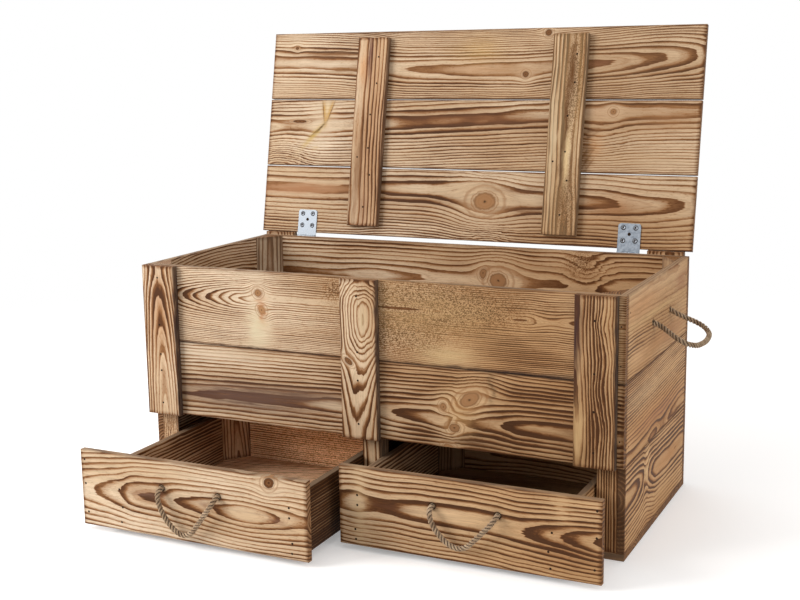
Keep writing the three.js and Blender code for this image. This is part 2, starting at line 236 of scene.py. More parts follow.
def make_handles():
    ropes = []
    for side in ("left", "right"):
        face = Vector((DRAWER_HOLE_X[side], FRONT - PULLED_OUT[side], DRAWER_ROPE_Z))
        half = DRAWER_SPACING / 2
        points = [
            face + Vector((along * half, -max(off, LEAST_OUT) / 1000, -down * DROP[side]))
            for along, off, down in DRAWER_LOOP
        ]
        mouths = [face + Vector((-half, 0, 0)), face + Vector((half, 0, 0))]
        ropes += make_handle("drawer_" + side, f"drawer_{side}_rope", "drawer_" + side,
                             points, mouths, Vector((0, 1, 0)))
        sign = -1 if side == "left" else 1
        face = Vector((sign * WIDTH / 2, SIDE_ROPE_Y, SIDE_ROPE_Z))
        half = SIDE_SPACING / 2
        out = Vector((sign * math.cos(SIDE_DROOP), 0, -math.sin(SIDE_DROOP)))
        points = [
            face + Y * (sign * along * half) + out * (max(off, LEAST_OUT) / 1000)
            for along, off, _ in SIDE_LOOP
        ]
        mouths = [face + Vector((0, -sign * half, 0)), face + Vector((0, sign * half, 0))]
        ropes += make_handle("side_" + side, f"side_{side}_rope", "carcass",
                             points, mouths, Vector((-sign, 0, 0)))
    return ropes


ROPES = make_handles()


# ------------------------------------------------------------------ node helpers
class Graph:
    """Short ways to wire shader nodes. A value may be a socket or a plain constant."""

    def __init__(self, tree):
        self.tree = tree

    def node(self, kind, **settings):
        made = self.tree.nodes.new(kind)
        for key, value in settings.items():
            setattr(made, key, value)
        return made

    def plug(self, value, socket):
        if isinstance(value, bpy.types.NodeSocket):
            self.tree.links.new(value, socket)
        elif value is not None:
            socket.default_value = value

    def feed(self, node, *values):
        """Set or wire a node's first inputs in turn, and give its first output."""
        for value, socket in zip(values, node.inputs):
            self.plug(value, socket)
        return node.outputs[0]

    def fill(self, node, values):
        """Set or wire a node's inputs by name or place, and give its first output."""
        for key, value in values.items():
            self.plug(value, node.inputs[key])
        return node.outputs[0]

    def math(self, operation, *values, clamp=False):
        return self.feed(self.node("ShaderNodeMath", operation=operation, use_clamp=clamp), *values)

    def times(self, a, b, clamp=False):
        return self.math("MULTIPLY", a, b, clamp=clamp)

    def plus(self, a, b, clamp=False):
        return self.math("ADD", a, b, clamp=clamp)

    def minus(self, a, b):
        return self.math("SUBTRACT", a, b)

    def squares(self, a, b):
        return self.plus(self.times(a, a), self.times(b, b))

    def vector(self, operation, a, b=None, scale=None):
        made = self.node("ShaderNodeVectorMath", operation=operation)
        self.plug(a, made.inputs[0])
        self.plug(b, made.inputs[1])
        if scale is not None:
            self.plug(scale, made.inputs["Scale"])
        return made.outputs["Value"] if operation in ("LENGTH", "DOT_PRODUCT") else made.outputs[0]

    def split(self, vector):
        made = self.node("ShaderNodeSeparateXYZ")
        self.plug(vector, made.inputs[0])
        return made.outputs

    def join(self, x, y, z):
        return self.feed(self.node("ShaderNodeCombineXYZ"), x, y, z)

    def noise(self, vector, detail, rough, scale=1.0, out="Fac"):
        made = self.node("ShaderNodeTexNoise")
        self.fill(made, {"Vector": vector, "Scale": scale, "Detail": detail, "Roughness": rough})
        return made.outputs[out]

    def sway(self, vector, detail, rough):
        """Noise in three directions, from half a unit one way to half a unit the other."""
        return self.vector("SUBTRACT", self.noise(vector, detail, rough, out="Color"), (0.5, 0.5, 0.5))

    def bump(self, strength, distance, height):
        values = {"Strength": strength, "Distance": distance, "Height": height}
        return self.fill(self.node("ShaderNodeBump"), values)

    def surface(self, shader):
        self.plug(shader, self.node("ShaderNodeOutputMaterial").inputs["Surface"])

    def step(self, value, low, high, to_low=0.0, to_high=1.0, kind="SMOOTHSTEP"):
        made = self.node("ShaderNodeMapRange", interpolation_type=kind)
        return self.feed(made, value, low, high, to_low, to_high)

    def mix(self, factor, a, b, blend="MIX"):
        made = self.node("ShaderNodeMix", data_type="RGBA", blend_type=blend)
        self.fill(made, {0: factor, 6: a, 7: b})
        return made.outputs[2]

    def blend_value(self, factor, a, b):
        return self.fill(self.node("ShaderNodeMix", data_type="FLOAT"), {0: factor, 2: a, 3: b})


def srgb(r, g, b):
    def linear(c):
        c /= 255
        return c / 12.92 if c <= 0.04045 else ((c + 0.055) / 1.055) ** 2.4
    return (linear(r), linear(g), linear(b), 1.0)


def empty_material(name):
    material = bpy.data.materials.new(name)
    material.use_nodes = True
    material.node_tree.nodes.clear()
    return material, Graph(material.node_tree)


def finished(material, g, values):
    g.surface(g.fill(g.node("ShaderNodeBsdfPrincipled"), values))
    return material


def new_group(name, inputs, outputs):
    tree = bpy.data.node_groups.new(name, "ShaderNodeTree")
    for way, sockets in (("INPUT", inputs), ("OUTPUT", outputs)):
        for socket, kind in sockets:
            tree.interface.new_socket(socket, in_out=way, socket_type=kind)
    g = Graph(tree)
    return g, g.node("NodeGroupInput").outputs, g.node("NodeGroupOutput").inputs


# ------------------------------------------------------------------ pine
# Every board is cut from a log of growth rings. Board space is (u along the grain, v across, w out of the
# seen face). The log's middle runs under the face at v = pith, at the given depth, and wanders.
# the third colour warms and darkens the wood at the chest's right: partly its tone, partly painted shade
EARLY_A, EARLY_B, WARM_AND_SHADE = srgb(218, 197, 170), srgb(196, 168, 135), srgb(232, 211, 184)
ROSE = srgb(226, 186, 156)
MIDDLE, DARK, CHAR = srgb(146, 102, 64), srgb(94, 57, 30), srgb(58, 36, 21)
SAWN_EDGE, KNOT_WOOD, RESIN = srgb(140, 120, 98), srgb(170, 126, 86), srgb(240, 196, 150)

FLOAT, VECTOR, COLOR = "NodeSocketFloat", "NodeSocketVector", "NodeSocketColor"


def pine_group():
    inputs = [("Place", VECTOR), ("Seed", VECTOR)] + [(name, FLOAT) for name in (
        "Lift", "Bleach", "Pith", "Depth", "Rose", "Narrow", "Wander", "WarmAndShade", "Ring", "Scorch", "Tone",
        "Edge", "End", "Torn", "Rim", "Late", "Outward",
    )]
    g, given, result = new_group("pine", inputs, [("Color", COLOR), ("Roughness", FLOAT), ("Height", FLOAT)])
    place, seed = given["Place"], given["Seed"]

    def stretched(by, apart=seed):
        return g.vector("ADD", g.vector("MULTIPLY", place, by), apart)

    # rings: how far a place lies from the wandering middle of the log, counted in rings
    u, v, w = g.split(place)
    slow = g.vector("SCALE", g.sway(stretched((2.1, 2.4, 2.4)), 1.5, 0.45), scale=given["Wander"])
    fine = g.vector("SCALE", g.sway(stretched((11, 34, 34)), 2, 0.5), scale=0.0052)
    shift = g.split(g.vector("ADD", slow, fine))
    across = g.minus(g.plus(v, shift[1]), given["Pith"])
    below = g.plus(g.plus(w, shift[2]), given["Depth"])
    count = g.math("DIVIDE", g.math("SQRT", g.squares(across, below)), given["Ring"])
    beyond = g.minus(count, g.math("DIVIDE", below, given["Ring"]))
    count = g.plus(count, g.times(g.times(beyond, beyond), given["Narrow"]))
    phase = g.plus(count, given["Lift"])
    drift = g.noise(g.join(g.times(phase, 0.23), g.split(seed)[0], 0.0), 2, 0.6)
    phase = g.plus(phase, g.math("MULTIPLY_ADD", drift, 0.7, -0.35))
    fibre = g.noise(stretched((9, 260, 260)), 2, 0.6)
    phase = g.plus(phase, g.math("MULTIPLY_ADD", fibre, 0.26, -0.13))
    phase = g.times(phase, given["Outward"])
    within = g.math("FRACT", phase)
    year = g.join(g.math("FLOOR", phase), g.split(seed)[1], 0.0)
    year = g.fill(g.node("ShaderNodeTexWhiteNoise", noise_dimensions="2D"), {"Vector": year})

    # how hard the flame reached each part of the board
    burn = g.noise(stretched((3.4, 11, 11), g.vector("ADD", seed, (7, 3, 1))), 3, 0.6)
    burn = g.step(burn, 0.32, 0.68, 0.66, 1.36)
    burn = g.math("MULTIPLY_ADD", burn, given["Scorch"], g.times(given["Rim"], 0.55))
    kept = g.minus(1.0, g.times(given["Bleach"], 0.9))
    burn = g.times(burn, kept)

    # late wood: darkens through the year, then stops sharply, and takes more of the year where it burnt hard
    thick = g.noise(g.join(g.times(u, 6.0), g.times(phase, 1.3), 0.0), 2, 0.5)
    onset = g.minus(g.math("MULTIPLY_ADD", year, 0.28, 0.06), given["Late"])
    onset = g.plus(onset, g.times(thick, 0.36))
    onset = g.minus(onset, g.step(burn, 0.95, 1.7, 0.0, 0.4))
    late = g.step(within, onset, 0.9)
    late = g.times(late, g.step(within, 0.93, 1.0, 1.0, 0.0))
    late = g.times(late, g.math("MULTIPLY_ADD", year, -0.45, 1.12))
    false_ring = g.join(g.times(u, 2.2), g.times(phase, 4.3), g.split(seed)[2])
    false_ring = g.step(g.noise(false_ring, 2, 0.6), 0.5, 0.72, 0.0, 0.2)

    # fibres: long fine streaks, and the torn pepper a blunt planer leaves
    streak = g.noise(stretched((24, 520, 520)), 3, 0.7)
    pepper = g.noise(stretched((350, 560, 560)), 2.5, 0.65)
    torn = g.times(g.step(pepper, 0.48, 0.56), given["Torn"], clamp=True)
    specks = g.noise(stretched((110, 560, 560)), 2, 0.6)
    specks = g.times(g.step(specks, 0.54, 0.7, 0.0, 0.2), kept)
    late = g.times(late, g.step(streak, 0.2, 0.62, 0.72, 1.1))
    late = g.times(late, g.math("MULTIPLY_ADD", given["Torn"], -0.7, 1.0, clamp=True))
    depth_of_colour = g.times(g.plus(late, false_ring), burn, clamp=True)
    depth_of_colour = g.plus(depth_of_colour, specks)
    depth_of_colour = g.plus(depth_of_colour, g.times(torn, 0.95), clamp=True)

    # colours: pale early wood, darker where it burnt, and the sawn edges and ends
    mood = g.noise(stretched((2.2, 9, 9), g.vector("ADD", seed, (1, 8, 5))), 2, 0.5)
    early = g.mix(g.step(mood, 0.3, 0.7), EARLY_A, EARLY_B)
    # warmer and darker at the chest's right and low down: partly the wood's tone, partly painted shade
    early = g.mix(given["WarmAndShade"], early, WARM_AND_SHADE, "MULTIPLY")
    early = g.mix(given["Rose"], early, ROSE, "MULTIPLY")
    early = g.mix(g.times(g.step(burn, 0.55, 1.4), 0.34), early, MIDDLE)
    colour = g.mix(g.step(depth_of_colour, 0.02, 0.48, kind="LINEAR"), early, MIDDLE)
    colour = g.mix(g.step(depth_of_colour, 0.34, 0.84), colour, DARK)
    colour = g.mix(g.step(depth_of_colour, 0.82, 1.06, 0.0, 0.7), colour, CHAR)
    colour = g.mix(g.times(given["Rim"], 0.5), colour, DARK)
    grain = g.plus(g.times(streak, 0.72), g.times(fibre, 0.3))
    grain = g.plus(grain, 0.5)
    grain = g.times(grain, given["Tone"])
    colour = g.mix(1.0, colour, g.join(grain, grain, grain), "MULTIPLY")

    edge_colour = g.mix(0.42, SAWN_EDGE, colour)
    colour = g.mix(g.times(given["Edge"], 0.8), colour, edge_colour)
    end_colour = g.mix(0.5, colour, g.mix(late, MIDDLE, CHAR))
    colour = g.mix(g.times(given["End"], 0.85), colour, end_colour)

    g.plug(colour, result["Color"])
    g.plug(g.math("MULTIPLY_ADD", depth_of_colour, -0.16, 0.74), result["Roughness"])
    height = g.math("MULTIPLY_ADD", late, 0.55, g.times(streak, 0.5))
    height = g.minus(height, g.times(torn, 0.5))
    g.plug(height, result["Height"])
    return g.tree


def knot_group():
    """A branch through the board: the grain parts round it, and its own rings show inside."""
    inputs = [("Place", VECTOR), ("Centre", VECTOR)]
    inputs += [(name, FLOAT) for name in ("Lean", "Stretch", "Radius", "Dark")]
    outputs = [("Place", VECTOR), ("Color", COLOR), ("Halo", FLOAT), ("Inside", FLOAT), ("Rings", FLOAT)]
    g, given, result = new_group("knot", inputs, outputs)
    wobble = g.sway(g.vector("MULTIPLY", given["Place"], (110, 130, 0)), 2, 0.55)
    wobble = g.vector("SCALE", wobble, scale=g.times(given["Radius"], 0.42))
    away = g.vector("SUBTRACT", given["Place"], given["Centre"])
    du, dv, _ = g.split(g.vector("ADD", away, wobble))
    cosine, sine = g.math("COSINE", given["Lean"]), g.math("SINE", given["Lean"])
    long_way = g.plus(g.times(du, cosine), g.times(dv, sine))
    short_way = g.minus(g.times(dv, cosine), g.times(du, sine))
    near = g.join(g.math("DIVIDE", long_way, given["Stretch"]), short_way, 0.0)
    reach = g.math("DIVIDE", g.vector("LENGTH", near), given["Radius"])
    parting = g.math("EXPONENT", g.times(g.times(reach, reach), -0.16))
    pushed = g.times(g.split(away)[1], g.times(parting, 0.86))
    g.plug(g.vector("SUBTRACT", given["Place"], g.join(0.0, pushed, 0.0)), result["Place"])
    inside = g.step(reach, 0.84, 1.12, 1.0, 0.0)
    rings = g.math("FRACT", g.times(reach, g.math("MULTIPLY_ADD", given["Dark"], -1.2, 3.1)))
    rings = g.times(g.step(rings, 0.2, 0.7), g.step(rings, 0.75, 1.0, 1.0, 0.0))
    heart = g.step(reach, 0.05, 0.22, 1.0, 0.0)
    wood = g.mix(g.math("POWER", given["Dark"], 0.7), KNOT_WOOD, DARK)
    wood = g.mix(g.times(rings, 0.32), wood, MIDDLE)
    wood = g.mix(g.times(heart, 0.85), wood, CHAR)
    bark = g.times(g.step(reach, 0.66, 0.95), inside)
    wood = g.mix(g.times(bark, g.math("MULTIPLY_ADD", given["Dark"], 0.6, 0.3)), wood, CHAR)
    g.plug(inside, result["Inside"])
    g.plug(wood, result["Color"])
    g.plug(g.math("EXPONENT", g.times(g.times(reach, reach), -0.11)), result["Halo"])
    collar = g.math("FRACT", g.times(reach, 1.55))
    collar = g.times(g.step(collar, 0.3, 0.8), g.step(collar, 0.85, 1.0, 1.0, 0.0))
    collar = g.times(collar, g.step(reach, 1.0, 1.25))
    g.plug(g.times(collar, g.step(reach, 1.5, 2.2, 0.75, 0.0)), result["Rings"])
    return g.tree


PINE, KNOT = pine_group(), knot_group()
FRAY = (0.05, 0.016, 0)
RIM_RAGGED, RIM_FROM, LONG_RIM, END_RIM = 0.012, -0.001, 0.0055, 0.009
FAR_AXIS, MOST_RINGS = 0.1, 14


def board_space(origin, along, out):
    """The shift and turn that take object coordinates to board space, and the way across the board."""
    along, out = Vector(along).normalized(), Vector(out).normalized()
    across = out.cross(along)
    turn = Matrix((along, across, out))
    return tuple(-(turn @ Vector(origin))), tuple(turn.to_euler()), across


def curve_of(g, value, points, low, high):
    """A smooth curve through (u, height) points, for u from -0.5 to 0.5 and heights from low to high."""
    node = g.node("ShaderNodeFloatCurve")
    g.plug(g.plus(value, 0.5), node.inputs["Value"])
    curve = node.mapping.curves[0]
    placed = [(u + 0.5, (height - low) / (high - low)) for u, height in sorted(points)]
    if placed[0][0] > 0:
        placed.insert(0, (0.0, placed[0][1]))
    if placed[-1][0] < 1:
        placed.append((1.0, placed[-1][1]))
    curve.points[0].location, curve.points[-1].location = placed[0], placed[-1]
    for place in placed[1:-1]:
        curve.points.new(*place)
    for point in curve.points:
        point.handle_type = "AUTO_CLAMPED"
    node.mapping.update()
    return g.math("MULTIPLY_ADD", node.outputs[0], high - low, low)


def make_wood(name, origin, along, out, half, axis, depth, ring, seed, wander=0.004, narrow=0.0, scorch=1.0,
              tone=1.0, late=0.0, outward=1.0, bumps=(), knots=(), torn=(), bleach=(), stain=(), warm=(),
              dyed_and_shaded=(), fire=()):
    """axis gives the log's middle across the board, depth how many rings it lies under the face, along u."""
    material, g = empty_material(name)
    shift, angles, across = board_space(origin, along, out)
    coordinate = g.node("ShaderNodeTexCoord")
    values = {"Vector": coordinate.outputs["Object"], "Location": shift, "Rotation": angles}
    flat = g.fill(g.node("ShaderNodeMapping", vector_type="POINT"), values)
    place = flat
    frayed = g.sway(g.vector("MULTIPLY", flat, (22, 90, 90)), 3, 0.65)
    frayed = g.vector("ADD", flat, g.vector("MULTIPLY", frayed, FRAY))

    def spot(u, v, long, wide, lean=0.0):
        """1 in the middle of a place and fading outward, frayed along the grain unless round or leaning."""
        away = g.vector("SUBTRACT", flat if long == wide or lean else frayed, (u, v, 0))
        cosine, sine = math.cos(lean), math.sin(lean)
        long_way = g.vector("DOT_PRODUCT", away, (cosine / long, sine / long, 0))
        short_way = g.vector("DOT_PRODUCT", away, (-sine / wide, cosine / wide, 0))
        return g.math("EXPONENT", g.times(g.squares(long_way, short_way), -1.0))

    def total(spots):
        found = None
        for *where, amount in spots:
            one = g.times(spot(*where), amount)
            found = one if found is None else g.plus(found, one)
        return 0.0 if found is None else found

    # knots part the grain one after another, and the wood is paler round them
    pale = total(bleach)
    inlays = []
    for u, v, radius, stretch, dark, *lean in knots:
        knot = g.node("ShaderNodeGroup", node_tree=KNOT)
        place = g.fill(knot, {
            "Place": place, "Centre": (u, v, 0), "Lean": lean[0] if lean else 0.0, "Stretch": stretch,
            "Radius": radius, "Dark": dark,
        })
        inlays.append(knot)
        pale = g.math("MAXIMUM", pale, g.times(knot.outputs["Halo"], 0.8))
    # a ragged rim along the edges and ends, where the flame took hold
    ragged = g.noise(g.vector("MULTIPLY", flat, (14, 60, 60)), 3, 0.6)
    ragged = g.times(g.minus(ragged, 0.5), RIM_RAGGED)
    half_length, half_width, middle = half
    from_middle = g.split(g.vector("ABSOLUTE", g.vector("SUBTRACT", flat, (middle, 0, 0))))
    near_end = g.step(g.plus(g.minus(half_length, from_middle[0]), ragged), RIM_FROM, END_RIM, 1.0, 0.0)
    near_long = g.step(g.plus(g.minus(half_width, from_middle[1]), ragged), RIM_FROM, LONG_RIM, 1.0, 0.0)
    # the log's middle and depth change along the board, and the wood is warmer and darker at the chest's
    # right, most low down: partly its own scorched tone, partly painted shade where the light falls off
    ragged = g.noise(g.vector("MULTIPLY", flat, (9, 40, 40)), 2, 0.5)
    shifted = g.plus(g.split(flat)[0], g.math("MULTIPLY_ADD", ragged, 0.022, -0.011))
    x, _, z = g.split(coordinate.outputs["Object"])
    pine = g.node("ShaderNodeGroup", node_tree=PINE)
    colour = g.fill(pine, {
        "Place": place, "Lift": total(bumps), "Bleach": pale, "Torn": total(torn), "Rose": total(warm),
        "Rim": g.math("MAXIMUM", near_long, near_end), "Scorch": g.plus(total(fire), scorch),
        "Pith": curve_of(g, shifted, axis, -FAR_AXIS, FAR_AXIS),
        "Depth": g.times(curve_of(g, shifted, depth, 0, MOST_RINGS), ring),
        "WarmAndShade": g.times(g.step(x, -0.35, 0.4), g.step(z, 0.42, 0.6, 1.0, 0.45)), "Late": late,
        "Outward": outward, "Narrow": narrow, "Wander": wander, "Ring": ring, "Tone": tone,
        "Seed": (seed * 1.7 + 3, seed * 2.3 + 11, seed * 0.9 + 5),
    })
    for socket, way in (("Edge", across), ("End", along)):
        facing = g.vector("DOT_PRODUCT", coordinate.outputs["Normal"], tuple(way))
        g.plug(g.step(g.math("ABSOLUTE", facing), 0.6, 0.9), pine.inputs[socket])
    if stain:
        colour = g.mix(total(stain), colour, RESIN, "MULTIPLY")
    # dyed places, and the painted shade strips down the battens' right edge faces, take their colour in
    # fibres
    fibrous = g.noise(g.vector("MULTIPLY", flat, (16, 330, 330)), 2, 0.6)
    fibrous = g.step(fibrous, 0.36, 0.64, 0.72, 1.18)
    for u, v, long, wide, amount, tint, *lean in dyed_and_shaded:
        amount = g.times(fibrous, amount)
        colour = g.mix(g.times(spot(u, v, long, wide, *lean), amount, clamp=True), colour, srgb(*tint))
    for knot in inlays:
        colour = g.mix(knot.outputs["Rings"], colour, MIDDLE)
        colour = g.mix(knot.outputs["Inside"], colour, knot.outputs["Color"])
    return finished(material, g, {
        "Base Color": colour, "Roughness": pine.outputs["Roughness"], "Specular IOR Level": 0.1,
        "Normal": g.bump(0.55, 0.0006, pine.outputs["Height"]),
    })


def dress(node, material):
    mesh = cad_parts[node].data
    mesh.materials.clear()
    mesh.materials.append(material)


DRAWER_WALLS = [f"drawer_{side}_{wall}" for side in ("left", "right") for wall in ("front", "back")]


def frame_of(node):
    """(origin, along, out) for a board: its middle, its grain and its seen face."""
    low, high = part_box(node)
    middle = (low + high) / 2
    if node.startswith("lid_plank"):
        return middle + LID_OUT * BOARD / 2 - X * middle.x / 2, X, LID_OUT
    if node.startswith("lid_batten"):
        return middle + LID_UP * LID_BATTEN_LENGTH / 2 + LID_OUT * BOARD / 2, -LID_UP, LID_OUT
    if node.startswith("rear_batten"):
        return Vector((middle.x, high.y, high.z)), -Z, Y
    if any(word in node for word in ("batten", "post", "corner_block")):
        return Vector((middle.x, low.y, high.z)), -Z, -Y
    if node.startswith(("front_board", "back_board")) or node in DRAWER_WALLS:
        return Vector((0, low.y, middle.z)), X, -Y
    if node.startswith("side_left"):
        return Vector((low.x, 0, middle.z)), Y, -X
    if "side_" in node:
        return Vector((high.x, 0, middle.z)), Y, X
    if node.startswith(("floor_ledger", "centre_runner")):
        return Vector((middle.x, 0, high.z)), Y, Z
    return Vector((0, middle.y, high.z)), X, Z


def extent_of(node, origin, along, out):
    """(half length, half width, middle) of a board, in its own board space."""
    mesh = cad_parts[node]
    across = out.cross(along)
    corners = [mesh.matrix_world @ v.co - origin for v in mesh.data.vertices]
    us, vs = [c.dot(along) for c in corners], [c.dot(across) for c in corners]
    return (max(us) - min(us)) / 2, (max(vs) - min(vs)) / 2, (max(us) + min(us)) / 2
